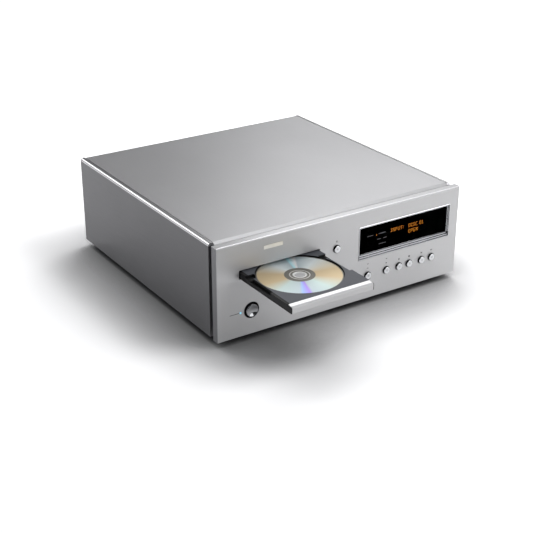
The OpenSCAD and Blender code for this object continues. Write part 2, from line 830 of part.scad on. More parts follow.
module tray() {
    half = tray_w / 2;
    ridge_x = well_d / 2 + 1.3;
    over_z = tray_top_z + 1;
    slot_half = 15;
    color(dark_plastic) on_tray_axis() {
        difference() {
            union() {
                block([-half, half], [tray_front_y, tray_end_y], [tray_under_z, tray_top_z]);
                block([-half, half], [tray_front_y, tray_front_y + tray_wall], [tray_z, tray_top_z]);
                for (side = [-1, 1])
                    block(around(side * (half - tray_wall / 2), tray_wall / 2),
                          [tray_front_y, tray_end_y], [tray_z, tray_top_z]);
                for (side = [-1, 1])
                    block(around(side * (half - cheek_t / 2), cheek_t / 2),
                          [lip_y + 0.4, tray_front_y + 1], [tray_z, tray_top_z - lip_slope]);
            }
            bar_z(well_d, 0, disc_y, [seat_z, over_z]);
            bar_z(well_d - 2 * seat_w, 0, disc_y, [well_z, over_z]);
            bar_z(spindle_hole_d, 0, disc_y, [tray_z, over_z]);
            block([-slot_half, slot_half], [disc_y, disc_y + read_outer + 11], [tray_z, over_z]);
            for (side = [-1, 1]) {
                block(around(side * (ridge_x + 5), 5), notch_y, [tray_under_z + tray_floor_t, over_z]);
                block(around(side * (half - 5), 8), step_y, [seat_z, over_z]);
            }
        }
        block([rack_x + dedendum, rack_x + dedendum + rack_back],
              [gear_y - tray_out - 9, gear_y + 9], [tray_z, tray_under_z + 0.5]);
        rack_teeth();
    }
}

module tray_lip() {
    half = tray_w / 2 - cheek_t;
    low = tray_z;
    high = tray_top_z;
    color(bright_metal) on_tray_axis() translate([-half, 0, 0]) rotate([90, 0, 90])
        linear_extrude(2 * half) polygon([
            [lip_y, low + 0.8], [lip_y + 0.8, low], [tray_front_y, low], [tray_front_y, high],
            [tray_front_y - 1, high + 0.5],
            [lip_y + 1, high - lip_slope + 0.4],
            [lip_y, high - lip_slope - 0.4]
        ]);
}

module disc() {
    ring_d = 34;
    ring_h = 0.2;
    color([0.8, 0.8, 0.78]) on_tray_axis() difference() {
        union() {
            bar_z(disc_d, 0, disc_y, [disc_z, disc_z + disc_t]);
            bar_z(ring_d, 0, disc_y, [disc_z, disc_z + disc_t + ring_h]);
        }
        bar_z(ring_d - 2, 0, disc_y, [disc_z + disc_t, disc_z + disc_t + 1]);
        bar_z(disc_hole_d, 0, disc_y, [disc_z - 1, disc_z + disc_t + 1]);
    }
}

// Loading drive

isolator_d = 12;
isolator_end = 8;
isolator_inset = 9;
isolator_spots = [
    for (x = [-1, 1])
        for (y = [stand_front_y + isolator_end, frame_end_y - isolator_end])
            [x * (frame_in_x - isolator_inset), y]
];

module loader_frame() {
    tab_w = 4;
    tab_h = 2;
    tab_z = tray_top_z + 3 * guide_gap;
    tab_step = 70;
    tab_ys = [frame_front_y, frame_front_y + tab_step];
    color(dark_plastic) on_tray_axis() difference() {
        union() {
            block([-frame_out_x, frame_out_x], [frame_front_y, frame_end_y], [deck_z, deck_top_z]);
            block([-frame_out_x, frame_out_x], [frame_end_y - frame_wall, frame_end_y], [deck_z, bridge_z]);
            for (side = [-1, 1]) {
                block(around(side * (frame_in_x + frame_wall / 2), frame_wall / 2),
                      [frame_front_y, frame_end_y], [deck_z, bridge_z]);
                block(around(side * (frame_in_x - guide_w / 2 + 0.5), guide_w / 2 + 0.5),
                      [frame_front_y, frame_end_y - 1], [guide_z - guide_h, guide_z]);
                for (y = tab_ys)
                    block(around(side * (frame_in_x - tab_w / 2 + 0.5), tab_w / 2 + 0.5),
                          [y, y + 24], [tab_z, tab_z + tab_h]);
            }
            bar_z(post_d, gear_x, gear_y, [deck_z, pinion_z + pinion_h - 0.4]);
            bar_z(post_d, pulley_x, gear_y, [deck_z, pulley_z + pulley_h - 0.4]);
        }
        block([plate_x[0] - opening_gap, plate_x[1] + opening_gap],
              [cam_y - opening_gap, plate_y[1] + opening_gap], [deck_z - 1, deck_top_z + 1]);
        bar_z(shaft_d + 4, motor_x, gear_y, [deck_z - 1, deck_top_z + 1]);
    }
}

module loading_gear() {
    bore = post_d + 2 * running_fit;
    hub_d = 12;
    color(gear_white) on_tray_axis() translate([gear_x, gear_y, 0]) difference() {
        union() {
            translate([0, 0, gear_z]) linear_extrude(gear_h) gear_outline(gear_teeth);
            bar_z(hub_d, 0, 0, [gear_z, pinion_z]);
            translate([0, 0, pinion_z]) linear_extrude(pinion_h) gear_outline(pinion_teeth);
        }
        bar_z(bore, 0, 0, [gear_z - 1, pinion_z + pinion_h + 1]);
    }
}

// A grooved pulley between two flanges
module belt_pulley(groove_d, height) {
    flange = 1;
    rim = 0.6;
    cylinder(d = groove_d, h = height);
    cylinder(d = groove_d + 2 * flange, h = rim);
    translate([0, 0, height - rim]) cylinder(d = groove_d + 2 * flange, h = rim);
}

module loading_pulley() {
    color(gear_white) on_tray_axis() translate([pulley_x, gear_y, 0]) difference() {
        union() {
            translate([0, 0, gear_z]) linear_extrude(gear_h) gear_outline(pulley_teeth, 180 / pulley_teeth);
            bar_z(2 * (pulley_gear_r - dedendum), 0, 0, [gear_z, pulley_z]);
            translate([0, 0, pulley_z]) belt_pulley(pulley_d, pulley_h);
        }
        bar_z(post_d + 2 * running_fit, 0, 0, [gear_z - 1, pulley_z + pulley_h + 1]);
    }
}

module loading_motor() {
    color(steel) on_tray_axis() difference() {
        bar_z(motor_d, motor_x, gear_y, [deck_z - motor_h, deck_z]);
        bar_z(shaft_d + 2 * running_fit, motor_x, gear_y, [deck_z - motor_h + 4, deck_z + 1]);
    }
}

module motor_pulley() {
    color(brass_gold) on_tray_axis() translate([motor_x, gear_y, 0]) {
        bar_z(shaft_d, 0, 0, [deck_z - motor_h + 5, pulley_z]);
        translate([0, 0, pulley_z]) belt_pulley(motor_pulley_d, pulley_h);
    }
}

// Outline of a loop around two round pulleys: an arc on each, joined by their tangents
module belt_outline(gap) {
    far_r = pulley_d / 2 + gap;
    near_r = motor_pulley_d / 2 + gap;
    reach = pulley_x - motor_x;
    lean = acos((far_r - near_r) / reach);
    steps = 24;
    polygon(concat(
        [for (i = [0 : steps]) let (a = 180 - lean + 2 * lean * i / steps) near_r * [cos(a), sin(a)]],
        [for (i = [0 : steps]) let (a = (180 - lean) * (2 * i / steps - 1))
            [reach, 0] + far_r * [cos(a), sin(a)]]
    ));
}

module loading_belt() {
    color(rubber_black) on_tray_axis()
        translate([motor_x, gear_y, pulley_z + (pulley_h - belt_d) / 2]) linear_extrude(belt_d) difference() {
            belt_outline(belt_gap + 0.6);
            belt_outline(belt_gap);
        }
}

module drive_stand() {
    foot = 10;
    color(steel) on_tray_axis() difference() {
        union() {
            block([-stand_x, stand_x], [stand_front_y, frame_end_y], [stand_z - sheet_t, stand_z]);
            for (side = [-1, 1]) {
                block(around(side * (stand_x - sheet_t / 2), sheet_t / 2),
                      [stand_front_y, frame_end_y], [floor_z, stand_z]);
                block(around(side * (stand_x + foot / 2 - 0.5), foot / 2 + 0.5),
                      [stand_front_y, frame_end_y], [floor_z, floor_z + sheet_t]);
            }
        }
        block([-stand_x + 16, stand_x - 16], [plate_y[0] + 16, plate_y[1] - 16],
              [stand_z - sheet_t - 1, stand_z + 1]);
    }
}

module isolators() {
    waist = 2;
    color(rubber_black) on_tray_axis() for (spot = isolator_spots)
        translate([spot[0], spot[1], 0]) difference() {
            bar_z(isolator_d, 0, 0, [stand_z, deck_z]);
            difference() {
                bar_z(isolator_d + 2, 0, 0, [stand_z + isolator_h * 0.35, stand_z + isolator_h * 0.65]);
                bar_z(isolator_d - 2 * waist, 0, 0, [stand_z, deck_z]);
            }
        }
}

// Traverse with its lift

module lift_posts() {
    color(bright_metal) on_tray_axis() for (spot = lift_post_spots)
        bar_z(lift_post_d, spot[0], spot[1], [stand_z, plate_top_z + lift + 3]);
}

cam_pin_z = plate_z - 2;
cam_pin_reach = cam_t + cam_gap;

module lift_cam() {
    slot_d = cam_pin_d + 2 * cam_slot_gap;
    slot_len = norm([cam_slide, lift]);
    slot_lean = atan2(lift, cam_slide);
    end = 5;
    color(gear_white) on_tray_axis() difference() {
        block([cam_pin_xs[0] - cam_slide - end, cam_pin_xs[1] + end], [cam_y, cam_y + cam_t],
              [stand_z + guide_gap, stand_z + guide_gap + cam_h]);
        for (x = cam_pin_xs)
            translate([x, cam_y - 1, cam_pin_z]) rotate([0, slot_lean, 0]) {
                bar_y(slot_d, 0, [0, cam_t + 2], 0);
                bar_y(slot_d, -slot_len, [0, cam_t + 2], 0);
                block([-slot_len, 0], [0, cam_t + 2], around(0, slot_d / 2));
            }
    }
}

rod_xs = [-rod_spacing / 2, rod_spacing / 2];
rod_seat_half = 3;
sled_motor_len = 16;
sled_motor_y = [rod_span[0] - sled_motor_len, rod_span[0]];

module traverse_plate() {
    tab_w = 8;
    tab_t = 2;
    seat_top_z = rod_z + rod_d / 2 + 1;
    bore = rod_d + 2 * running_fit;
    color(steel) on_tray_axis() difference() {
        union() {
            block(plate_x, plate_y, [plate_z, plate_top_z]);
            for (x = cam_pin_xs) {
                block(around(x, tab_w / 2), [plate_y[0], plate_y[0] + tab_t], [cam_pin_z - 2, plate_top_z]);
                bar_y(cam_pin_d, x, [plate_y[0] - cam_pin_reach, plate_y[0] + 1], cam_pin_z);
            }
            for (x = rod_xs)
                for (y = [rod_span[0], rod_span[1] - rod_seat_t])
                    block(around(x, rod_seat_half), [y, y + rod_seat_t], [plate_z, seat_top_z]);
            block(around(screw_x, rod_seat_half), [rod_span[1] - rod_seat_t, rod_span[1]],
                  [plate_z, seat_top_z]);
        }
        for (spot = lift_post_spots)
            bar_z(lift_post_d + 2 * running_fit, spot[0], spot[1], [plate_z - 1, plate_top_z + 1]);
        for (x = rod_xs)
            bar_y(bore, x, [rod_span[0] - 1, rod_span[1] + 1], rod_z);
        bar_y(lead_d / 2 + 2 * running_fit, screw_x,
              [rod_span[1] - rod_seat_t - 1, rod_span[1] + 1], screw_z);
        block(around(screw_x, sled_motor_d / 2 - 0.1), [sled_motor_y[0] - 0.3, sled_motor_y[1] + 0.3],
              [plate_z - 1, plate_top_z + 1]);
    }
}

module spindle_motor() {
    color(steel) on_tray_axis() difference() {
        bar_z(spindle_motor_d, 0, spindle_y, [plate_top_z, platform_top_z - platform_h - 0.4]);
        bar_z(shaft_d + 2 * running_fit, 0, spindle_y, [plate_top_z + 1, platform_top_z]);
    }
}

module turntable() {
    lead_in = 1;
    color(dark_plastic) on_tray_axis() translate([0, spindle_y, 0]) {
        bar_z(platform_d, 0, 0, [platform_top_z - platform_h, platform_top_z]);
        bar_z(nose_d, 0, 0, [platform_top_z, platform_top_z + nose_h - lead_in]);
        translate([0, 0, platform_top_z + nose_h - lead_in])
            cylinder(d1 = nose_d, d2 = nose_d - 2 * lead_in, h = lead_in);
        bar_z(shaft_d, 0, 0, [plate_top_z + 1.5, platform_top_z]);
    }
}

module guide_rods() {
    color(bright_metal) on_tray_axis() for (x = rod_xs)
        bar_y(rod_d, x, rod_span, rod_z);
}

module pickup_sled() {
    sled_y = [lens_y - sled_front, lens_y - sled_front + sled_len];
    half = rod_spacing / 2 + 4;
    housing = 11;
    nut_x = screw_x + lead_d / 2 + 0.3;
    color(dark_plastic) on_tray_axis() difference() {
        union() {
            block([-half, half], sled_y, [plate_top_z + 0.7, rod_z + 2.8]);
            block([-housing, housing], [lens_y - 6, lens_y + 8], [plate_top_z + 0.7, sled_top_z]);
            block([nut_x, -half + 1], [lens_y, lens_y + 8], around(screw_z, 1.4));
        }
        bar_y(rod_d + 2 * running_fit, rod_xs[0], [sled_y[0] - 1, sled_y[1] + 1], rod_z);
        bar_y(rod_d + 2 * running_fit, rod_xs[1], [sled_y[0] - 1, sled_y[1] + 1], rod_z);
        bar_z(lens_d + 2 * lens_pocket, 0, lens_y, [lens_bottom_z - 0.9, sled_top_z + 1]);
    }
}

module pickup_lens() {
    color([0.5, 0.6, 0.75]) on_tray_axis() {
        bar_z(lens_d, 0, lens_y, [lens_bottom_z, lens_top_z - 0.5]);
        bar_z(lens_d - 2, 0, lens_y, [lens_bottom_z, lens_top_z]);
    }
}

// The lead screw's thread is drawn as rings of its pitch
module sled_screw() {
    pitch = 2;
    depth = 0.4;
    rings = floor((read_outer - read_inner + sled_len) / pitch);
    start_y = rod_span[0] + 1.5;
    color(bright_metal) on_tray_axis() difference() {
        union() {
            bar_y(shaft_d, screw_x, [rod_span[0] - 8, rod_span[1]], screw_z);
            bar_y(lead_d, screw_x, [rod_span[0] + 1, rod_span[1] - rod_seat_t - 0.5], screw_z);
        }
        for (i = [0 : rings - 1])
            translate([screw_x, start_y + i * pitch, screw_z]) rotate([-90, 0, 0]) difference() {
                cylinder(d = lead_d + 1, h = pitch / 2);
                translate([0, 0, -1]) cylinder(d = lead_d - 2 * depth, h = pitch / 2 + 2);
            }
    }
}

module sled_motor() {
    color(steel) on_tray_axis() difference() {
        bar_y(sled_motor_d, screw_x, sled_motor_y, screw_z);
        bar_y(shaft_d + 2 * running_fit, screw_x, [rod_span[0] - 9, rod_span[0] + 1], screw_z);
    }
}

module clamp_bridge() {
    half = 19;
    color(steel) on_tray_axis() difference() {
        block([-frame_out_x, frame_out_x], around(spindle_y, half), [bridge_z, bridge_z + bridge_t]);
        bar_z(puck_d + 1, 0, spindle_y, [bridge_z - 1, bridge_z + bridge_t + 1]);
    }
}

module clamp_puck() {
    top_z = bridge_z + bridge_t;
    color(dark_plastic) on_tray_axis() difference() {
        union() {
            bar_z(puck_d, 0, spindle_y, [puck_z, top_z + puck_flange_t]);
            bar_z(puck_flange_d, 0, spindle_y, [top_z, top_z + puck_flange_t]);
        }
        bar_z(disc_hole_d + 1, 0, spindle_y, [puck_z - 1, puck_z + nose_h]);
    }
}

// Electronics

module transformer() {
    plate_d = 62;
    plate_t = 3;
    bolt_d = 8;
    round = 14;
    r = transformer_d / 2;
    hole_r = 20;
    color([0.55, 0.35, 0.2]) translate([transformer_x, transformer_y, floor_z]) {
        rotate_extrude() difference() {
            translate([hole_r, 0]) square([r - hole_r, transformer_h]);
            translate([r - round, transformer_h - round]) difference() {
                square([round + 1, round + 1]);
                circle(r = round);
            }
        }
        translate([0, 0, transformer_h]) cylinder(d = plate_d, h = plate_t);
        cylinder(d = bolt_d, h = transformer_h + plate_t + 6);
    }
}

power_board_rect = [power_board_x, power_board_y];
audio_board_rect = [audio_board_x, audio_board_y];

// The four post places of a board
function corners(rect) = [
    for (x = [rect[0][0] + board_inset, rect[0][1] - board_inset])
        for (y = [rect[1][0] + board_inset, rect[1][1] - board_inset])
            [x, y]
];

module power_board() {
    sink_t = 4;
    sink_h = 34;
    sink_inset = 20;
    sink_gap = 4;
    color(board_green) {
        block(power_board_x, power_board_y, [board_z, board_z + board_t]);
        block([power_board_x[0] + sink_inset, power_board_x[1] - sink_inset],
              [power_board_y[0] + sink_gap, power_board_y[0] + sink_gap + sink_t],
              [board_z, board_z + board_t + sink_h]);
    }
}

capacitor_step = capacitor_d + 6;
capacitor_inset = 34;
capacitor_x = power_board_x[0] + capacitor_inset;
capacitor_y = power_board_y[0] + capacitor_inset;

module filter_capacitors() {
    color(dark_plastic) for (i = [0 : 3])
        for (j = [0 : 1])
            bar_z(capacitor_d, capacitor_x + i * capacitor_step, capacitor_y + j * capacitor_step,
                  [board_z + board_t, board_z + board_t + capacitor_h]);
}

module audio_board() {
    can_h = 14;
    can_inset = 20;
    can_w = 70;
    can_depth = 60;
    chip = 14;
    chip_inset = 118;
    chip_step = 22;
    chip_back = 50;
    can_x = audio_board_x[0] + can_inset;
    can_y = audio_board_y[0] + can_inset;
    chip_h = 3;
    top = board_z + board_t;
    color(board_green) {
        block(audio_board_x, audio_board_y, [board_z, top]);
        block([can_x, can_x + can_w], [can_y, can_y + can_depth], [board_z, top + can_h]);
        for (i = [0 : 3])
            block(around(audio_board_x[0] + chip_inset + i * chip_step, chip / 2),
                  around(audio_board_y[0] + chip_back, chip / 2),
                  [board_z, top + chip_h]);
    }
}

module board_posts() {
    front_spots = [
        [display_board_x[0] + board_inset, display_board_z[0] + 4],
        [display_board_x[1] - board_inset, display_board_z[0] + 4],
        [display_board_x[0] + board_inset, display_board_z[1] - 4],
        [display_board_x[1] - board_inset, display_board_z[1] - 4],
        [key_board_x[0] + 5, key_board_z[0] + 5],
        [(input_x + transport_x) / 2, key_board_z[0] + 5],
        [(transport_xs[2] + transport_xs[3]) / 2, key_board_z[0] + 5]
    ];
    front_post_d = 6;
    color(brass_gold) {
        for (spot = concat(corners(power_board_rect), corners(audio_board_rect)))
            bar_z(board_post_d, spot[0], spot[1], [floor_z, board_z]);
        for (spot = front_spots)
            bar_y(front_post_d, spot[0], [frame_y, front_board_y], spot[1]);
    }
}

// Sockets on the rear panel, each drawn about its own axis pointing out of the panel

jack_body_d = 10;
jack_flange_d = 14;
jack_flange_t = 1.5;
balanced_body_d = 23.6;
balanced_w = 26;
balanced_h = 31;
balanced_plate_t = 2;
balanced_bore_d = 16;
optical_w = 10;
optical_reach = 3;
inlet_body_w = 28;
inlet_body_h = 21;
inlet_cavity_w = 24.5;
inlet_cavity_h = 16.5;
inlet_depth = 20;
inlet_flange_t = 3;

module line_socket() {
    bore_d = 3.4;
    body_len = 12;
    difference() {
        union() {
            bar_y(jack_flange_d, 0, [0, jack_flange_t], 0);
            bar_y(jack_d, 0, [0, jack_reach], 0);
            bar_y(jack_body_d, 0, [-body_len, 0], 0);
        }
        bar_y(bore_d, 0, [jack_reach - 9, jack_reach + 1], 0);
    }
}

module line_sockets() {
    color(brass_gold) for (x = line_xs)
        translate([x, rear_y, socket_z]) line_socket();
}

module balanced_sockets() {
    depth = 18;
    pin_d = 2.4;
    pin_ring = 3.6;
    mouth_y = balanced_plate_t;
    color(dark_plastic) for (x = balanced_xs)
        translate([x, rear_y, socket_z]) {
            difference() {
                union() {
                    block(around(0, balanced_w / 2), [0, balanced_plate_t], around(0, balanced_h / 2));
                    bar_y(balanced_body_d, 0, [-depth, 0], 0);
                }
                bar_y(balanced_bore_d, 0, [-depth + 3, mouth_y + 1], 0);
            }
            for (angle = [90, 210, 330])
                bar_y(pin_d, pin_ring * cos(angle), [-depth + 2, mouth_y - pin_setback],
                      pin_ring * sin(angle));
        }
}

module digital_sockets() {
    color(dark_plastic) {
        translate([digital_x, rear_y, socket_z]) line_socket();
        translate([optical_x, rear_y, socket_z]) {
            block(around(0, optical_w / 2), [-10, optical_reach], around(0, optical_w / 2));
            block(around(0, optical_w / 2 + 1.5), [0, 1], around(0, optical_w / 2 + 1.5));
        }
    }
}

module mains_inlet() {
    blade_w = 2;
    blade_h = 4;
    blade_step = 7;
    earth_rise = 2;
    color(dark_plastic) translate([inlet_x, rear_y, inlet_z]) {
        difference() {
            union() {
                block(around(0, inlet_w / 2), [0, inlet_flange_t], around(0, inlet_h / 2));
                block(around(0, inlet_body_w / 2), [-inlet_depth, 0], around(0, inlet_body_h / 2));
            }
            block(around(0, inlet_cavity_w / 2), [-inlet_depth + 3, inlet_flange_t + 1],
                  around(0, inlet_cavity_h / 2));
            for (side = [-1, 1])
                bar_y(3.4, side * (inlet_body_w / 2 + inlet_w / 2) / 2, [-1, inlet_flange_t + 1], 0);
        }
        for (i = [-1 : 1])
            block(around(i * blade_step, blade_w / 2), [-inlet_depth + 2, inlet_flange_t - pin_setback],
                  around(i == 0 ? earth_rise : -earth_rise, blade_h / 2));
    }
}

front_panel();
front_frame();
side_panel_left();
side_panel_right();
top_cover();
base_plate();
rear_panel();
feet();
foot_pads();
case_screws();
display_bezel();
display_window();
display_tube();
display_board();
badge_plate();
power_ring();
power_button();
power_switch();
power_lamp();
open_close_button();
input_button();
play_button();
pause_button();
stop_button();
previous_button();
next_button();
key_board();
key_switches();
tray();
tray_lip();
disc();
loader_frame();
loading_gear();
loading_pulley();
loading_motor();
motor_pulley();
loading_belt();
drive_stand();
isolators();
lift_posts();
lift_cam();
traverse_plate();
spindle_motor();
turntable();
guide_rods();
pickup_sled();
pickup_lens();
sled_screw();
sled_motor();
clamp_bridge();
clamp_puck();
transformer();
power_board();
audio_board();
filter_capacitors();
board_posts();
line_sockets();
balanced_sockets();
digital_sockets();
mains_inlet();
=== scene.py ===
"""Disc player with its tray out: finishes, printed marks, lit display, studio light and camera.

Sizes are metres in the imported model's frame: +X right seen from the front, the front faces -Y, +Z up.
"""
import logging
import math
from dataclasses import dataclass, field, replace
from enum import Enum
from typing import Any

import bmesh
import bpy
from mathutils import Color, Matrix, Vector


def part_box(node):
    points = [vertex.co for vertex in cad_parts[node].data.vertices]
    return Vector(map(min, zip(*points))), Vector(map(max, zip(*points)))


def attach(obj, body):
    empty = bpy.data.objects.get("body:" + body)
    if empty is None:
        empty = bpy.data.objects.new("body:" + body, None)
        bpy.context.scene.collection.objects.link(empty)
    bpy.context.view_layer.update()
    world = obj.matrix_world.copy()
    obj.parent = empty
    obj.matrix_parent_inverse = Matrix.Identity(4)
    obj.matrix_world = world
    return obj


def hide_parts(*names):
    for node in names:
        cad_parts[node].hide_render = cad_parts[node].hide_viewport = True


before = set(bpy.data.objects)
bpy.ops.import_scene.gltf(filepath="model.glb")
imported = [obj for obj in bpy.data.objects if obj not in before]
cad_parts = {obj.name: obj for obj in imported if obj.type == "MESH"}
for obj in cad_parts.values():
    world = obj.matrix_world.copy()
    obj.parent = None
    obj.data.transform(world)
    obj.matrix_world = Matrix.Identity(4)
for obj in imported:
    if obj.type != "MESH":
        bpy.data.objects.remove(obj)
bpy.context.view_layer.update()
LOG = logging.getLogger("disc_player")
MM = 0.001
PRINT_THICKNESS = 0.03 * MM
# A layer's tone fades over this distance on each side of its border.
FADE = 0.15 * MM
MERGE_DISTANCE = 0.0001 * MM
SHARP_ANGLE = math.radians(32)
TURN_STEPS = 96
# Noise lies mostly between these two levels.
NOISE_LOW = 0.3
NOISE_HIGH = 0.7
GRAIN_DETAIL = 3.0
GRAIN_ROUGHNESS = 0.6
CLOUD_DETAIL = 2.0

Tree = bpy.types.NodeTree
Node = bpy.types.Node
Socket = bpy.types.NodeSocket
Material = bpy.types.Material
Shape = bmesh.types.BMesh
Colour = tuple[float, float, float, float]


def linear(hex_colour: str) -> Colour:
    """Turns an sRGB colour into linear light.

    Args:
        hex_colour: Six hex digits with a leading mark, as "#a0b0c0".

    Returns:
        Red, green, blue and an alpha of one.
    """
    shares = [int(hex_colour[start:start + 2], 16) / 255 for start in (1, 3, 5)]
    light = Color(shares).from_srgb_to_scene_linear()
    return (light.r, light.g, light.b, 1.0)


def add_node(
    tree: Tree, kind: str, settings: dict[Any, Any] | None = None, links: dict[Any, Socket] | None = None
) -> Node:
    """Adds a node with its settings and links.

    Args:
        tree: The node tree.
        kind: Blender's name of the node's type.
        settings: Values by input name, input number or attribute; "stops" sets a colour ramp.
        links: Sockets to link, by input name or number.

    Returns:
        The new node.
    """
    node = tree.nodes.new(kind)
    for name, value in (settings or {}).items():
        if name == "stops":
            elements = node.color_ramp.elements
            while len(elements) < len(value):
                elements.new(1.0)
            for element, (place, colour) in zip(elements, value):
                element.position = place
                element.color = colour
        elif isinstance(name, int) or name in node.inputs:
            node.inputs[name].default_value = value
        else:
            setattr(node, name, value)
    for name, socket in (links or {}).items():
        tree.links.new(socket, node.inputs[name])
    return node


@dataclass(frozen=True)
class Finish:
    """A surface with a fine grain and slow changes of tone.

    The grain gives roughness and bump, the clouds give the change of tone.
    """

    name: str
    colour: str = "#808080"
    shade: str = "#808080"
    roughness: tuple[float, float] = (0.5, 0.6)
    metallic: float = 0.0
    grain_mm: tuple[float, float, float] = (1.0, 1.0, 1.0)
    grain_height_mm: float = 0.01
    bump: float = 0.1
    cloud_mm: float = 40.0
    coat: float = 0.0
    ior: float = 1.5

    def make(self) -> Material:
        """Makes the material.

        Returns:
            The new material.
        """
        material = bpy.data.materials.new(self.name)
        material.use_nodes = True
        tree = material.node_tree
        shader = tree.nodes["Principled BSDF"]
        shader.inputs["Metallic"].default_value = self.metallic
        shader.inputs["Coat Weight"].default_value = self.coat
        shader.inputs["IOR"].default_value = self.ior
        coords = add_node(tree, "ShaderNodeTexCoord")
        place = add_node(
            tree,
            "ShaderNodeMapping",
            {"Scale": [1 / (size * MM) for size in self.grain_mm]},
            {"Vector": coords.outputs["Object"]},
        )
        grain = add_node(
            tree,
            "ShaderNodeTexNoise",
            {"Scale": 1.0, "Detail": GRAIN_DETAIL, "Roughness": GRAIN_ROUGHNESS},
            {"Vector": place.outputs["Vector"]},
        )
        relief = add_node(
            tree,
            "ShaderNodeBump",
            {"Strength": self.bump, "Distance": self.grain_height_mm * MM},
            {"Height": grain.outputs["Fac"]},
        )
        tree.links.new(self.tone(tree, coords), shader.inputs["Base Color"])
        tree.links.new(relief.outputs["Normal"], shader.inputs["Normal"])
        self.roughen(tree, shader, grain)
        self.refine(tree, shader, coords)
        return material

    def tone(self, tree: Tree, coords: Node) -> Socket:
        """Lets the tone drift slowly between colour and shade.

        Args:
            tree: The node tree.
            coords: The node that gives the place on the object.

        Returns:
            The socket of the base colour.
        """
        clouds = add_node(
            tree,
            "ShaderNodeTexNoise",
            {"Scale": 1 / (self.cloud_mm * MM), "Detail": CLOUD_DETAIL},
            {"Vector": coords.outputs["Object"]},
        )
        drift = add_node(
            tree,
            "ShaderNodeValToRGB",
            {"stops": [(NOISE_LOW, linear(self.shade)), (NOISE_HIGH, linear(self.colour))]},
            {"Fac": clouds.outputs["Fac"]},
        )
        return drift.outputs["Color"]

    def roughen(self, tree: Tree, shader: Node, grain: Node) -> None:
        """Lets the roughness follow the grain, or sets it where it is even.

        Args:
            tree: The node tree.
            shader: The shader.
            grain: The node that draws the grain.
        """
        smooth, dull = self.roughness
        if smooth == dull:
            shader.inputs["Roughness"].default_value = smooth
            return
        rough = add_node(
            tree,
            "ShaderNodeMapRange",
            {"From Min": NOISE_LOW, "From Max": NOISE_HIGH, "To Min": smooth, "To Max": dull},
            {"Value": grain.outputs["Fac"]},
        )
        tree.links.new(rough.outputs["Result"], shader.inputs["Roughness"])

    def refine(self, tree: Tree, shader: Node, coords: Node) -> None:
        """Leaves the plain finish as it is; special finishes add to it here."""


@dataclass(frozen=True)
class Plane:
    """A border across one axis; what counts lies beyond it with a side of 1, before it with -1."""

    axis: str
    place: float
    side: int = 1


@dataclass(frozen=True)
class Layer:
    """A change of tone and gloss that lies where all of its planes allow it."""

    colour: str
    roughness: float
    planes: tuple[Plane, ...]


@dataclass(frozen=True)
class LayeredFinish(Finish):
    """A finish with edges or faces of another tone and gloss; here these carry painted highlights and
    painted shade.
    """

    layers: tuple[Layer, ...] = ()

    def refine(self, tree: Tree, shader: Node, coords: Node) -> None:
        """Lays each layer over the finish.

        Args:
            tree: The node tree.
            shader: The shader.
            coords: The node that gives the place on the object.
        """
        parts = add_node(tree, "ShaderNodeSeparateXYZ", None, {"Vector": coords.outputs["Object"]})
        for layer in self.layers:
            inside = self.mask(tree, layer, parts)
            tone = add_node(
                tree,
                "ShaderNodeMixRGB",
                {"Color2": linear(layer.colour)},
                {"Fac": inside, "Color1": shader.inputs["Base Color"].links[0].from_socket},
            )
            polish = add_node(
                tree,
                "ShaderNodeMapRange",
                {"To Max": layer.roughness},
                {"Value": inside, "To Min": shader.inputs["Roughness"].links[0].from_socket},
            )
            tree.links.new(tone.outputs["Color"], shader.inputs["Base Color"])
            tree.links.new(polish.outputs["Result"], shader.inputs["Roughness"])

    def mask(self, tree: Tree, layer: Layer, parts: Node) -> Socket:
        """Finds where a layer lies.

        Args:
            tree: The node tree.
            layer: The layer.
            parts: The node that splits the place into X, Y and Z.

        Returns:
            A socket that is one where all planes allow the layer and zero elsewhere.
        """
        masks = []
        for plane in layer.planes:
            past = add_node(
                tree,
                "ShaderNodeMapRange",
                {"From Min": plane.place - plane.side * FADE, "From Max": plane.place + plane.side * FADE},
                {"Value": parts.outputs[plane.axis]},
            )
            masks.append(past.outputs["Result"])
        inside = masks[0]
        for other in masks[1:]:
            both = add_node(tree, "ShaderNodeMath", {"operation": "MULTIPLY"}, {0: inside, 1: other})
            inside = both.outputs["Value"]
        return inside


@dataclass(frozen=True)
class LitFinish(Finish):
    """A finish that glows by itself."""

    glow: str = "#ffffff"
    strength: float = 1.0

    def refine(self, tree: Tree, shader: Node, coords: Node) -> None:
        """Adds the glow."""
        shader.inputs["Emission Color"].default_value = linear(self.glow)
        shader.inputs["Emission Strength"].default_value = self.strength


@dataclass(frozen=True)
class ClearFinish(Finish):
    """A finish that lets light through."""

    passes: float = 1.0

    def refine(self, tree: Tree, shader: Node, coords: Node) -> None:
        """Sets how much light passes."""
        shader.inputs["Transmission Weight"].default_value = self.passes


class Tint(Enum):
    """The painted tones of the disc: painted shade and painted highlights in rings on its clear hub, and
    painted reflections of what the fine tracks throw under studio light.
    """

    CLEAR = "#f2f2f0"
    SHADE = "#747169"
    RING = "#f0eeea"
    DARK = "#6f6c64"
    GOLD = "#d8c196"
    MINT = "#cfe2de"
    PEARL = "#eef7f7"
    SILVER = "#c2d2d8"
    VIOLET = "#b48cf8"
    SKY = "#a6c8ff"
    ICE = "#ffffff"
    CYAN = "#bff6ff"


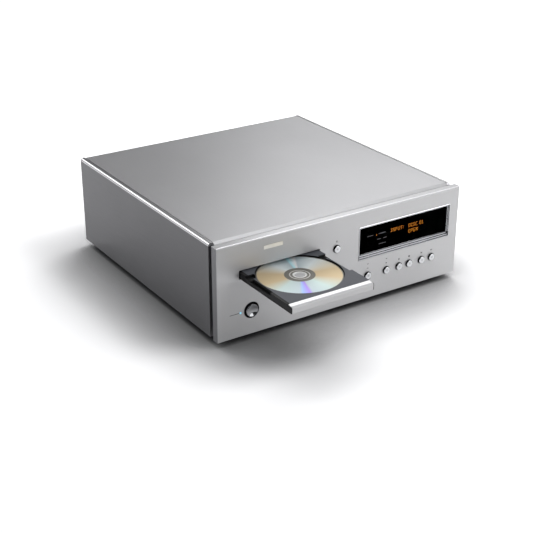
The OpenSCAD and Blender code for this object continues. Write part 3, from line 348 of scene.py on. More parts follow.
@dataclass(frozen=True)
class DiscFinish(Finish):
    """The mirrored disc: a hub with rings of painted shade and highlights, then fans of colour that open
    from its middle.

    Radii are in millimetres, angles in degrees from the right. The colours are painted reflections of the
    studio light on the tracks. A fan has a narrow streak, a painted highlight, that runs from one tint to
    another, then silver and its last tint on both sides. Between the fans the tracks look gold.
    """

    centre: tuple[float, float] = (0.0, 0.0)
    radius_mm: float = 60.0
    tracks_mm: tuple[float, float] = (21.5, 58.5)
    track_fade_mm: float = 0.4
    rings: tuple[tuple[float, Tint], ...] = (
        (9.6, Tint.CLEAR), (10.4, Tint.SHADE), (12.6, Tint.SHADE), (14.0, Tint.RING),
        (14.8, Tint.SHADE), (18.0, Tint.SHADE), (20.0, Tint.DARK), (21.5, Tint.SHADE),
    )
    fans: tuple[tuple[float, Tint, Tint, Tint], ...] = (
        (-115, Tint.SKY, Tint.VIOLET, Tint.MINT), (70, Tint.ICE, Tint.CYAN, Tint.PEARL)
    )
    streak_half: float = 5.0
    silver_half: float = 9.0
    wing_half: float = 38.0
    gold_at: tuple[float, ...] = (-180, -40, -10, 145, 180)

    def tone(self, tree: Tree, coords: Node) -> Socket:
        """Paints the hub's rings by radius and the track area by angle.

        Args:
            tree: The node tree.
            coords: The node that gives the place on the object.

        Returns:
            The socket of the base colour.
        """
        flat = add_node(
            tree,
            "ShaderNodeMapping",
            {"Location": (-self.centre[0], -self.centre[1], 0), "Scale": (1, 1, 0)},
            {"Vector": coords.outputs["Object"]},
        )
        parts = add_node(tree, "ShaderNodeSeparateXYZ", None, {"Vector": flat.outputs["Vector"]})
        reach = add_node(
            tree, "ShaderNodeVectorMath", {"operation": "LENGTH"}, {0: flat.outputs["Vector"]}
        )
        angle = add_node(
            tree,
            "ShaderNodeMath",
            {"operation": "ARCTAN2"},
            {0: parts.outputs["Y"], 1: parts.outputs["X"]},
        )
        share = add_node(
            tree,
            "ShaderNodeMapRange",
            {"From Min": -math.pi, "From Max": math.pi},
            {"Value": angle.outputs["Value"]},
        )
        out = add_node(
            tree,
            "ShaderNodeMapRange",
            {"From Max": self.radius_mm * MM},
            {"Value": reach.outputs["Value"]},
        )
        hub = add_node(
            tree,
            "ShaderNodeValToRGB",
            {"stops": [(radius / self.radius_mm, linear(tint.value)) for radius, tint in self.rings]},
            {"Fac": out.outputs["Result"]},
        )
        rainbow = add_node(
            tree, "ShaderNodeValToRGB", {"stops": self.sectors()}, {"Fac": share.outputs["Result"]}
        )
        tracks = add_node(
            tree, "ShaderNodeValToRGB", {"stops": self.track_band()}, {"Fac": out.outputs["Result"]}
        )
        paint = add_node(
            tree,
            "ShaderNodeMixRGB",
            None,
            {
                "Fac": tracks.outputs["Color"],
                "Color1": hub.outputs["Color"],
                "Color2": rainbow.outputs["Color"],
            },
        )
        return paint.outputs["Color"]

    def sectors(self) -> list[tuple[float, Colour]]:
        """Lays the tints round the disc.

        Returns:
            Shares of a full turn, counted from the left, each with its tint.
        """
        spots = [(angle, Tint.GOLD) for angle in self.gold_at]
        for middle, first, last, wing in self.fans:
            spots += [(middle - self.streak_half, first), (middle + self.streak_half, last)]
            for spread, tint in ((self.silver_half, Tint.SILVER), (self.wing_half, wing)):
                spots += [(middle - spread, tint), (middle + spread, tint)]
        spots.sort(key=lambda spot: spot[0])
        return [((angle + 180) / 360, linear(tint.value)) for angle, tint in spots]

    def track_band(self) -> list[tuple[float, Colour]]:
        """Marks the ring of tracks.

        Returns:
            Shares of the disc's radius with black outside the tracks and white on them.
        """
        black, white = linear("#000000"), linear("#ffffff")
        start, end = self.tracks_mm
        fade = self.track_fade_mm
        spots = ((start - fade, black), (start + fade, white), (end - fade, white), (end + fade, black))
        return [(radius / self.radius_mm, tone) for radius, tone in spots]


# Finishes of the case

# Bead-blasted, anodised aluminium: an even satin grey without direction.
# The pits are about 0.1 mm across and are drawn at 0.6 mm, so that they show.
BLASTED_ALUMINIUM = LayeredFinish(
    "aluminium_bead_blasted_anodised", "#c2c2c3", "#bdbdbe", roughness=(0.48, 0.56), metallic=0.6,
    grain_mm=(0.6, 0.6, 0.6), bump=0.15, cloud_mm=160,
)
# Fine-brushed, anodised aluminium: hairlines along the depth that stretch the highlights.
# The hairlines are about 0.05 mm wide and are drawn at 0.5 mm, so that they show.
BRUSHED_ALUMINIUM = Finish(
    "aluminium_brushed_anodised", "#c8c8ca", "#c2c2c4", roughness=(0.36, 0.46), metallic=0.8,
    grain_mm=(0.5, 40, 0.5), grain_height_mm=0.008, bump=0.12, cloud_mm=200,
)
# The same sheet along the sides, with painted shade: its colour is made darker to stand for the shade that
# falls on the sides.
SHADED_SIDE_ALUMINIUM = LayeredFinish(
    "aluminium_brushed_side_painted_shade", "#707072", "#6b6b6d", roughness=(0.4, 0.5), metallic=0.9,
    grain_mm=(0.5, 40, 0.5), grain_height_mm=0.008, bump=0.12, cloud_mm=220,
)
# Satin pale aluminium of the small plate: slightly warm, brighter than the panel.
PALE_ALUMINIUM = Finish(
    "aluminium_satin_pale", "#f3f2ee", "#eae9e4", roughness=(0.3, 0.42), metallic=0.7,
    grain_mm=(0.4, 0.4, 0.4), cloud_mm=12,
)
# Pressed zinc-plated sheet: cool grey with a faint spangle of about 3 mm.
ZINC_SHEET = Finish(
    "steel_zinc_plated", "#a9acb0", "#94979b", roughness=(0.35, 0.5), metallic=1.0,
    grain_mm=(3, 3, 3), cloud_mm=12,
)
# Powder coat on the rear panel: silver grey with a fine orange peel.
POWDER_COAT = Finish(
    "steel_powder_coated", "#a4a5a7", "#9b9c9e", roughness=(0.42, 0.56), metallic=0.3,
    grain_mm=(0.8, 0.8, 0.8), grain_height_mm=0.03, bump=0.35, cloud_mm=90,
)
# Turned aluminium of the feet: rings of fine tool marks.
TURNED_ALUMINIUM = Finish(
    "aluminium_turned", "#b9babc", "#aeb0b2", roughness=(0.25, 0.4), metallic=1.0,
    grain_mm=(4, 4, 0.3), bump=0.2, cloud_mm=30,
)
# Moulded rubber: deep matt black with a dusty bloom.
RUBBER = Finish(
    "rubber_moulded", "#1b1b1c", "#131314", roughness=(0.75, 0.9),
    grain_mm=(0.7, 0.7, 0.7), grain_height_mm=0.03, bump=0.4, cloud_mm=15,
)
# Ground steel of screws and rods: bright with fine scratches.
GROUND_STEEL = Finish(
    "steel_ground", "#b6b8bb", "#a6a8ab", roughness=(0.22, 0.36), metallic=1.0,
    grain_mm=(0.4, 0.4, 2), bump=0.15, cloud_mm=8,
)

# Finishes of the front

# Polished chrome: mirror bright with the faintest haze.
CHROME = LayeredFinish(
    "brass_chrome_plated", "#dcdddf", "#d3d4d6", roughness=(0.07, 0.13), metallic=1.0,
    grain_mm=(6, 6, 6), grain_height_mm=0.004, bump=0.05, cloud_mm=20,
)
# Chrome of the push buttons: the bezel's chrome made darker, as painted shade.
SHADED_BUTTON_CHROME = replace(CHROME, name="brass_chrome_button_painted_shade", colour="#c6c7c9", shade="#bebfc1")
# Chrome of the power button: a darker mirror than the bezel, its colour made darker as painted shade.
SHADED_KNOB_CHROME = replace(CHROME, name="brass_chrome_knob_painted_shade", colour="#88898b", shade="#808183")
# Dark nickel of the ring round the power button: a smoky mirror.
DARK_NICKEL = Finish(
    "steel_black_nickel", "#5b5c5f", "#4b4c4f", roughness=(0.16, 0.26), metallic=1.0,
    grain_mm=(2, 2, 2), grain_height_mm=0.006, cloud_mm=10,
)
# Lightly smoked acrylic with a coat against glare: clear, with the faint waves of a cast sheet.
# The coat leaves no mirror image, so the index is that of air.
SMOKED_ACRYLIC = ClearFinish(
    "acrylic_smoked_coated", "#bcbcbf", "#b8b8bb", roughness=(0.0, 0.0),
    grain_mm=(30, 30, 30), grain_height_mm=0.002, cloud_mm=60, ior=1.0,
)
# Front glass of the display tube: black, with a dull sheen.
TUBE_GLASS = Finish(
    "glass_display_tube", "#020202", "#010101", roughness=(0.55, 0.65),
    grain_mm=(8, 8, 8), grain_height_mm=0.004, bump=0.05, cloud_mm=30, ior=1.05,
)
# Lit dots of the display: warm amber.
AMBER_DOTS = LitFinish(
    "phosphor_amber_lit", "#ff9a2a", "#f08a20",
    grain_mm=(0.3, 0.3, 0.3), grain_height_mm=0.004, cloud_mm=2, glow="#ffa338", strength=1.9,
)
# Unlit legends on the display: dim grey, with a faint painted glow although they are not lit.
GLOWING_DIM_LEGEND = LitFinish(
    "phosphor_grey_unlit_painted_glow", "#77787a", "#6c6d6f",
    grain_mm=(0.3, 0.3, 0.3), grain_height_mm=0.004, cloud_mm=2, glow="#8a8c90", strength=0.25,
)
# Light guide of the power lamp: a clear blue glow.
BLUE_LAMP = LitFinish(
    "acrylic_light_guide_blue", "#9adcf6", "#86cfee", roughness=(0.2, 0.3),
    grain_mm=(1, 1, 1), grain_height_mm=0.004, cloud_mm=2, glow="#7fd0f4", strength=0.9,
)
# Black border printed on the window's back: it hides what stands round the display tube.
BLACK_INK = Finish(
    "ink_screen_printed_black", "#050505", "#030303", roughness=(0.6, 0.75),
    grain_mm=(0.3, 0.3, 0.3), grain_height_mm=0.005, cloud_mm=6, ior=1.1,
)
# Screen-printed marks: dark grey ink, slightly raised and matt.
INK = Finish(
    "ink_screen_printed", "#3a3b3d", "#333436", roughness=(0.55, 0.7),
    grain_mm=(0.3, 0.3, 0.3), grain_height_mm=0.005, bump=0.2, cloud_mm=6,
)

# Finishes of the tray and the inside

# Moulded black plastic: matt, with a fine spark-eroded texture.
BLACK_PLASTIC = Finish(
    "abs_moulded_black", "#1f2022", "#18191a", roughness=(0.45, 0.6),
    grain_mm=(0.7, 0.7, 0.7), grain_height_mm=0.03, bump=0.35, cloud_mm=25,
)
# Tray plastic: near black, with the same texture and a little more sheen.
TRAY_PLASTIC = LayeredFinish(
    "abs_moulded_tray", "#161617", "#121213", roughness=(0.42, 0.52),
    grain_mm=(0.6, 0.6, 0.6), grain_height_mm=0.03, bump=0.3, cloud_mm=30, ior=1.3,
)
# Mirrored polycarbonate of the disc: bright, with the tracks' colours under a clear skin, painted on as
# painted reflections of the studio light.
MIRRORED_DISC = DiscFinish(
    "polycarbonate_mirrored", roughness=(0.28, 0.34), metallic=0.35,
    grain_mm=(2, 2, 2), grain_height_mm=0.002, bump=0.03,
)
# White acetal of gears and cams: waxy.
ACETAL = Finish(
    "acetal_moulded", "#e4e0d4", "#d9d4c6", roughness=(0.35, 0.5),
    grain_mm=(1.5, 1.5, 1.5), bump=0.15, cloud_mm=8,
)
# Solder mask over copper: green with darker traces.
SOLDER_MASK = Finish(
    "glass_fibre_solder_mask", "#1f6b41", "#134e2d", roughness=(0.3, 0.45),
    grain_mm=(1.2, 6, 1.2), grain_height_mm=0.03, bump=0.3, cloud_mm=6,
)
# Turned and plated brass: warm, with a soft shine.
BRASS = Finish(
    "brass_turned_plated", "#d8b565", "#c9a555", roughness=(0.2, 0.34), metallic=1.0,
    grain_mm=(0.4, 0.4, 0.4), grain_height_mm=0.008, bump=0.15, cloud_mm=6,
)
# Plated motor cans: bright steel with draw lines.
MOTOR_CAN = Finish(
    "steel_plated_drawn", "#b3b5b8", "#a3a5a8", roughness=(0.2, 0.34), metallic=1.0,
    grain_mm=(0.6, 0.6, 5), grain_height_mm=0.006, cloud_mm=10,
)
# Coated lens of the pickup: clear with a blue bloom.
LENS_GLASS = ClearFinish(
    "glass_coated_lens", "#8fa6d8", "#8098cc", roughness=(0.02, 0.06),
    grain_mm=(4, 4, 4), grain_height_mm=0.002, bump=0.03, cloud_mm=3, ior=1.6, passes=0.6,
)
# Taped and varnished winding of the transformer: amber brown, glossy.
VARNISHED_TAPE = Finish(
    "polyester_tape_varnished", "#7a4a20", "#633a18", roughness=(0.25, 0.4),
    grain_mm=(30, 30, 3), grain_height_mm=0.1, bump=0.5, cloud_mm=14, coat=0.3,
)
# Shrink sleeve of the capacitors: dark blue, glossy.
SHRINK_SLEEVE = Finish(
    "vinyl_shrink_sleeve", "#1c2340", "#161b34", roughness=(0.2, 0.32),
    grain_mm=(3, 3, 12), grain_height_mm=0.02, bump=0.2, cloud_mm=10,
)


@dataclass(frozen=True)
class PaperFinish:
    """Matt studio paper that looks brighter to the lens and in mirrors than it lights the player.

    To the lens it carries a painted contact shadow, darker where the player stands close.
    """

    name: str
    colour: str
    shade: str
    lift: float = 2.1
    contact: float = 120 * MM
    contact_depth: float = 1.7
    contact_samples: int = 16
    contact_shadow_colour: str = "#0c0c0d"

    def make(self) -> Material:
        """Makes the material.

        Returns:
            The new material.
        """
        material = bpy.data.materials.new(self.name)
        material.use_nodes = True
        tree = material.node_tree
        tree.nodes.remove(tree.nodes["Principled BSDF"])
        path = add_node(tree, "ShaderNodeLightPath")
        by_lens = path.outputs["Is Camera Ray"]
        seen = by_lens
        for ray in ("Is Glossy Ray", "Is Transmission Ray"):
            links = {0: seen, 1: path.outputs[ray]}
            either = add_node(tree, "ShaderNodeMath", {"operation": "MAXIMUM"}, links)
            seen = either.outputs["Value"]
        lifted = tuple(self.lift * share for share in linear(self.colour)[:3]) + (1.0,)
        tone = add_node(
            tree, "ShaderNodeMixRGB", {"Color1": linear(self.shade), "Color2": lifted}, {"Fac": seen}
        )
        # Painted shadow: ambient occlusion darkens the paper near the player, for the lens only.
        shut_in = add_node(
            tree, "ShaderNodeAmbientOcclusion", {"Distance": self.contact, "samples": self.contact_samples}
        )
        deep = add_node(
            tree,
            "ShaderNodeMath",
            {"operation": "POWER", 1: self.contact_depth},
            {0: shut_in.outputs["AO"]},
        )
        unseen = add_node(tree, "ShaderNodeMath", {"operation": "SUBTRACT", 0: 1.0}, {1: by_lens})
        open_share = add_node(
            tree,
            "ShaderNodeMath",
            {"operation": "MAXIMUM"},
            {0: deep.outputs["Value"], 1: unseen.outputs["Value"]},
        )
        shaded = add_node(
            tree,
            "ShaderNodeMixRGB",
            {"Color1": linear(self.contact_shadow_colour)},
            {"Fac": open_share.outputs["Value"], "Color2": tone.outputs["Color"]},
        )
        paper = add_node(tree, "ShaderNodeBsdfDiffuse", None, {"Color": shaded.outputs["Color"]})
        tree.links.new(paper.outputs["BSDF"], tree.nodes["Material Output"].inputs["Surface"])
        return material


# Studio paper: pale and quite matt.
PAPER_BACKDROP = PaperFinish("paper_backdrop", "#eeeeef", "#e4e4e5")


class Axis(Enum):
    """The axes that a shape is turned about; its profile is drawn to the right of them."""

    DEPTH = (0, 1, 0)
    HEIGHT = (0, 0, 1)


class Mark(Enum):
    """The generic signs printed above the buttons, as outlines in a square that is one unit wide."""

    PLAY = (((0.15, 0), (0.95, 0.5), (0.15, 1)),)
    PAUSE = (
        ((0.1, 0), (0.38, 0), (0.38, 1), (0.1, 1)),
        ((0.62, 0), (0.9, 0), (0.9, 1), (0.62, 1)),
    )
    STOP = (((0.05, 0.05), (0.95, 0.05), (0.95, 0.95), (0.05, 0.95)),)
    PREVIOUS = (
        ((0, 0), (0.15, 0), (0.15, 1), (0, 1)),
        ((0.6, 0), (0.6, 1), (0.17, 0.5)),
        ((1, 0), (1, 1), (0.6, 0.5)),
    )
    NEXT = (
        ((0.85, 0), (1, 0), (1, 1), (0.85, 1)),
        ((0.4, 0), (0.83, 0.5), (0.4, 1)),
        ((0, 0), (0.4, 0.5), (0, 1)),
    )
    OPEN = (((0, 0.35), (1, 0.35), (0.5, 1)), ((0, 0), (1, 0), (1, 0.2), (0, 0.2)))
    LEVEL = (((0, 0.35), (1, 0.35), (1, 0.65), (0, 0.65)),)


def turned(
    profile: list[tuple[float, float]],
    middle: Vector,
    axis: Axis,
    closed: bool = False,
    steps: int = TURN_STEPS,
) -> Shape:
    """Turns a profile once round an axis.

    Args:
        profile: Points as radius and distance along the axis.
        middle: The point on the axis that the distances count from.
        axis: The axis to turn about.
        closed: Whether the profile's last point joins its first.
        steps: The number of steps in the full turn.

    Returns:
        The turned shape.
    """
    shape = bmesh.new()
    along = Vector(axis.value)
    points = [shape.verts.new(middle + Vector((radius, 0, 0)) + along * far) for radius, far in profile]
    pairs = list(zip(points, points[1:]))
    if closed:
        pairs.append((points[-1], points[0]))
    edges = [shape.edges.new(pair) for pair in pairs]
    bmesh.ops.spin(
        shape, geom=points + edges, cent=middle, axis=along, angle=math.tau, steps=steps, use_merge=True
    )
    return shape


def framed(levels: list[tuple[float, float, float]], low: Vector, high: Vector) -> Shape:
    """Draws a rectangle through several levels into a closed picture frame.

    Args:
        levels: The inset of the sides and top, the inset of the lower edge, and the place along Y; the first
            one is the whole frame's outline.
        low: The lower corner of the whole frame.
        high: The upper corner of the whole frame.

    Returns:
        The frame.
    """
    shape = bmesh.new()
    middle = (low + high) / 2
    spots = ((low.x, low.z), (high.x, low.z), (high.x, high.z), (low.x, high.z))
    ends = [shape.verts.new((x, levels[0][2], z)) for x, z in spots]
    loop = [shape.edges.new(pair) for pair in zip(ends, ends[1:] + ends[:1])]
    for side, sill, y in levels[1:] + levels[:1]:
        grown = bmesh.ops.extrude_edge_only(shape, edges=loop)["geom"]
        ends = [item for item in grown if isinstance(item, bmesh.types.BMVert)]
        loop = [item for item in grown if isinstance(item, bmesh.types.BMEdge) and item.is_boundary]
        for end in ends:
            x = low.x + side if end.co.x < middle.x else high.x - side
            z = low.z + sill if end.co.z < middle.z else high.z - side
            end.co = (x, y, z)
    return shape


def block(shape: Shape, low: Vector, high: Vector) -> None:
    """Adds a box to a shape.

    Args:
        shape: The shape that takes the box.
        low: The box's lowest corner.
        high: The box's highest corner.
    """
    sizes = high - low
    place = Matrix.Translation((low + high) / 2) @ Matrix.Diagonal((*sizes, 1.0))
    bmesh.ops.create_cube(shape, size=1.0, matrix=place)


def print_flat(shape: Shape, outline: tuple[tuple[float, float], ...], start: Vector, size: float) -> None:
    """Adds a thin printed outline that faces the front.

    Args:
        shape: The shape that takes the print.
        outline: Points as shares of the size, to the right and up.
        start: The lower left corner, on the surface behind the print.
        size: The length of one unit.
    """
    spots = [start + Vector((x * size, 0, z * size)) for x, z in outline]
    face = shape.faces.new([shape.verts.new(spot) for spot in spots])
    grown = bmesh.ops.extrude_face_region(shape, geom=[face])["geom"]
    raised = [item for item in grown if isinstance(item, bmesh.types.BMVert)]
    bmesh.ops.translate(shape, verts=raised, vec=(0, -PRINT_THICKNESS, 0))


def print_bar(shape: Shape, start: Vector, length: float, height: float) -> None:
    """Adds a thin printed bar that faces the front.

    Args:
        shape: The shape that takes the print.
        start: The lower left corner, on the surface behind the print.
        length: The bar's length.
        height: The bar's height.
    """
    share = height / length
    print_flat(shape, ((0, 0), (1, 0), (1, share), (0, share)), start, length)


def piece_from(
    shape: Shape, name: str, material: Material, body: str, replaced: tuple[str, ...] = ()
) -> None:
    """Makes a finished piece, at the origin, from a shape.

    Args:
        shape: The shape, which is used up.
        name: The piece's name.
        material: Its material.
        body: The body that it rides on.
        replaced: The nodes that it stands for.
    """
    bmesh.ops.remove_doubles(shape, verts=shape.verts, dist=MERGE_DISTANCE)
    bmesh.ops.recalc_face_normals(shape, faces=shape.faces)
    mesh = bpy.data.meshes.new(name)
    shape.to_mesh(mesh)
    shape.free()
    mesh.shade_smooth()
    mesh.set_sharp_from_angle(angle=SHARP_ANGLE)
    mesh.materials.append(material)
    piece = bpy.data.objects.new(name, mesh)
    bpy.context.scene.collection.objects.link(piece)
    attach(piece, body)
    if replaced:
        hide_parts(*replaced)
    LOG.info("%s: %d faces on %s", name, len(mesh.polygons), body)


def dress(finish: Finish, *nodes: str) -> None:
    """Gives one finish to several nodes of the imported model.

    Args:
        finish: The finish.
        nodes: The nodes' names.
    """
    material = finish.make()
    for name in nodes:
        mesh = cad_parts[name].data
        mesh.materials.clear()
        mesh.materials.append(material)
        LOG.info("%s dressed in %s", name, finish.name)


def corners(node: str) -> tuple[Vector, Vector]:
    """The lowest and the highest corner of a node's box."""
    low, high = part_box(node)
    return Vector(low), Vector(high)


def middle_of(node: str) -> Vector:
    """The middle of a node's box."""
    low, high = corners(node)
    return (low + high) / 2


@dataclass
class Case:
    """The panels, the cover, the feet and the screws."""

    # Painted light: painted shade on the front panel's chamfer and ends, and painted highlights on its top
    # face and on the side panels' rails.
    panel_cut: float = 1.4 * MM
    panel_cut_shade_tone: str = "#979799"
    top_skin: float = 0.3 * MM
    top_highlight_tone: str = "#d6d6d8"
    rail_height: float = 4.2 * MM
    rail_highlight_tone: str = "#d6d6d8"
    cut_roughness: float = 0.28
    end_skin: float = 0.4 * MM
    end_shade_tone: str = "#808083"
    end_roughness: float = 0.42

    def build(self) -> None:
        """Dresses the panels, with painted highlights and painted shade on their edges and ends, and the
        rest of the case.
        """
        self.dress_front()
        self.dress_sides()
        dress(BRUSHED_ALUMINIUM, "top_cover")
        dress(ZINC_SHEET, "front_frame", "base_plate", "drive_stand", "clamp_bridge", "traverse_plate")
        dress(POWDER_COAT, "rear_panel")
        dress(TURNED_ALUMINIUM, "feet")
        dress(RUBBER, "foot_pads", "isolators", "loading_belt")
        dress(GROUND_STEEL, "case_screws", "lift_posts", "guide_rods", "sled_screw")

    def dress_front(self) -> None:
        """Dresses the front panel: painted shade on its chamfer, a painted highlight on its top face, and
        painted shade on its ends, each glossier than the rest.
        """
        low, high = corners("front_panel")
        cut_z = high.z - self.panel_cut
        # Painted shade on the chamfer, a painted highlight on the top face, then painted shade on both ends.
        layers = [
            Layer(self.panel_cut_shade_tone, self.cut_roughness, (Plane("Z", cut_z),)),
            Layer(self.top_highlight_tone, self.cut_roughness, (Plane("Z", high.z - self.top_skin),)),
        ]
        for end in (Plane("X", low.x + self.end_skin, -1), Plane("X", high.x - self.end_skin)):
            layers.append(Layer(self.end_shade_tone, self.end_roughness, (end, Plane("Z", cut_z, -1))))
        dress(replace(BLASTED_ALUMINIUM, layers=tuple(layers)), "front_panel")

    def dress_sides(self) -> None:
        """Dresses the side panels in painted shade, with a painted highlight along their rails."""
        rail_z = corners("side_panel_left")[1].z - self.rail_height
        # Painted highlight: the rail band along the top is made lighter than the side.
        rail = Layer(self.rail_highlight_tone, self.cut_roughness, (Plane("Z", rail_z),))
        dress(replace(SHADED_SIDE_ALUMINIUM, layers=(rail,)), "side_panel_left", "side_panel_right")


@dataclass
class Display:
    """The bezel, the smoked window and what is lit behind it.

    A groove's share is of one step's width. Words and legends have their places in millimetres from the
    lower left corner of the display tube: a word its first upper dot, a legend the middle of its lower
    edge and then its length.
    """

    bezel_edge: float = 0.3 * MM
    bezel_steps: int = 3
    groove_share: float = 0.27
    groove_depth: float = 1.2 * MM
    window_rim: float = 1.4 * MM
    rebate_gap: float = 0.3 * MM
    sill_shade_tone: str = "#a2a3a6"
    sill_roughness: float = 0.22
    border_overlap: float = 1.0 * MM
    border_gap: float = 0.01 * MM
    dot: tuple[float, float] = (0.44 * MM, 0.6 * MM)
    dot_pitch: tuple[float, float] = (0.7 * MM, 0.84 * MM)
    dot_height: float = 0.05 * MM
    letter_gap: int = 2
    words: tuple[tuple[str, float, float], ...] = (
        ("INPUT:", 53.2, 22.7), ("DISC 01", 86.8, 22.7), ("OPEN", 86.8, 13.5), (".", 25.4, 19.5)
    )
    legend_height: float = 1.1 * MM
    legends: tuple[tuple[float, float, float], ...] = (
        (14.4, 19.5, 11), (36.4, 19.5, 13), (31.0, 11.0, 7), (42.0, 11.0, 6), (37.4, 3.0, 14)
    )
    letters: dict[str, str] = field(
        default_factory=lambda: {
            "I": "### .#. .#. .#. .#. .#. ###",
            "N": "#...# ##..# ##..# #.#.# #..## #..## #...#",
            "P": "####. #...# #...# ####. #.... #.... #....",
            "U": "#...# #...# #...# #...# #...# #...# .###.",
            "T": "##### ..#.. ..#.. ..#.. ..#.. ..#.. ..#..",
            "D": "####. #...# #...# #...# #...# #...# ####.",
            "S": ".#### #.... #.... .###. ....# ....# ####.",
            "C": ".#### #.... #.... #.... #.... #.... .####",
            "O": ".###. #...# #...# #...# #...# #...# .###.",
            "E": "##### #.... #.... ####. #.... #.... #####",
            "0": ".###. #...# #..## #.#.# ##..# #...# .###.",
            "1": ".#. ##. .#. .#. .#. .#. ###",
            ":": ". # # . # # .",
            ".": "## ##",
            " ": "..",
        }
    )

    def build(self) -> None:
        """Dresses the display and lights its characters."""
        self.step_bezel()
        self.print_border()
        dress(SMOKED_ACRYLIC, "display_window")
        dress(TUBE_GLASS, "display_tube")
        self.light_characters()
        self.print_legends()

    def step_bezel(self) -> None:
        """Builds the bezel: polished, grooved steps down to the window, wide along the lower ledge, which is
        satin and darker with painted shade.
        """
        low, high = corners("display_bezel")
        glass_low = corners("display_window")[0]
        side = glass_low.x + self.window_rim - low.x
        sill = glass_low.z + self.window_rim - low.z
        step_depth = (glass_low.y - low.y) / self.bezel_steps
        levels = [
            (0.0, 0.0, high.y),
            (0.0, 0.0, low.y + self.bezel_edge),
            (self.bezel_edge, self.bezel_edge, low.y),
        ]
        for step in range(1, self.bezel_steps + 1):
            tread_y = levels[-1][2]
            groove_y = tread_y + self.groove_depth
            far, near = step - 2 * self.groove_share, step - self.groove_share
            spots = [(far, tread_y), (far, groove_y), (near, groove_y), (near, tread_y)]
            spots.append((step, low.y + step * step_depth))
            for steps_in, y in spots:
                reach = steps_in / self.bezel_steps
                levels.append((side * reach, sill * reach, y))
        behind = self.window_rim + self.rebate_gap
        levels.append((side - behind, sill - behind, glass_low.y))
        levels.append((side - behind, sill - behind, high.y))
        # Painted shade: the lower ledge's chrome is made darker than the rest.
        below = Plane("Z", low.z + sill, -1)
        ledge = Layer(self.sill_shade_tone, self.sill_roughness, (below,))
        chrome = replace(CHROME, name="brass_chrome_satin_ledge_painted_shade", layers=(ledge,)).make()
        piece_from(framed(levels, low, high), "display_bezel_stepped", chrome, "case", ("display_bezel",))

    def print_border(self) -> None:
        """Prints the black border on the window's back, a little over the edges of the display tube."""
        low, high = corners("display_window")
        tube_low = corners("display_tube")[0]
        side = tube_low.x + self.border_overlap - low.x
        sill = tube_low.z + self.border_overlap - low.z
        front_y = high.y + self.border_gap
        back_y = front_y + PRINT_THICKNESS
        levels = [(0.0, 0.0, back_y), (0.0, 0.0, front_y), (side, sill, front_y), (side, sill, back_y)]
        piece_from(framed(levels, low, high), "window_border", BLACK_INK.make(), "case")

    def print_legends(self) -> None:
        """Prints the unlit legends as dim bars with a faint painted glow at the left of the display."""
        corner = corners("display_tube")[0]
        shape = bmesh.new()
        for across, up, length in self.legends:
            start = corner + Vector((across - length / 2, 0, up)) * MM
            print_bar(shape, start, length * MM, self.legend_height)
        piece_from(shape, "display_legends", GLOWING_DIM_LEGEND.make(), "case")

    def light_characters(self) -> None:
        """Lights the words, dot by dot."""
        corner = corners("display_tube")[0]
        shape = bmesh.new()
        for word, across, up in self.words:
            self.add_word(shape, word, corner + Vector((across, 0, up)) * MM)
        piece_from(shape, "display_characters", AMBER_DOTS.make(), "case")

    def add_word(self, shape: Shape, word: str, start: Vector) -> None:
        """Adds one word's dots to a shape.

        Args:
            shape: The shape that takes the dots.
            word: Letters that the display knows.
            start: The upper left dot's place.
        """
        x = start.x
        across_step, down_step = self.dot_pitch
        half = Vector((self.dot[0] / 2, 0, self.dot[1] / 2))
        raised = Vector((0, self.dot_height, 0))
        for letter in word:
            rows = self.letters[letter].split()
            for down, row in enumerate(rows):
                for across, lit in enumerate(row):
                    if lit == "#":
                        spot = Vector((x + across * across_step, start.y, start.z - down * down_step))
                        block(shape, spot - half - raised, spot + half)
            x += (len(rows[0]) + self.letter_gap) * across_step


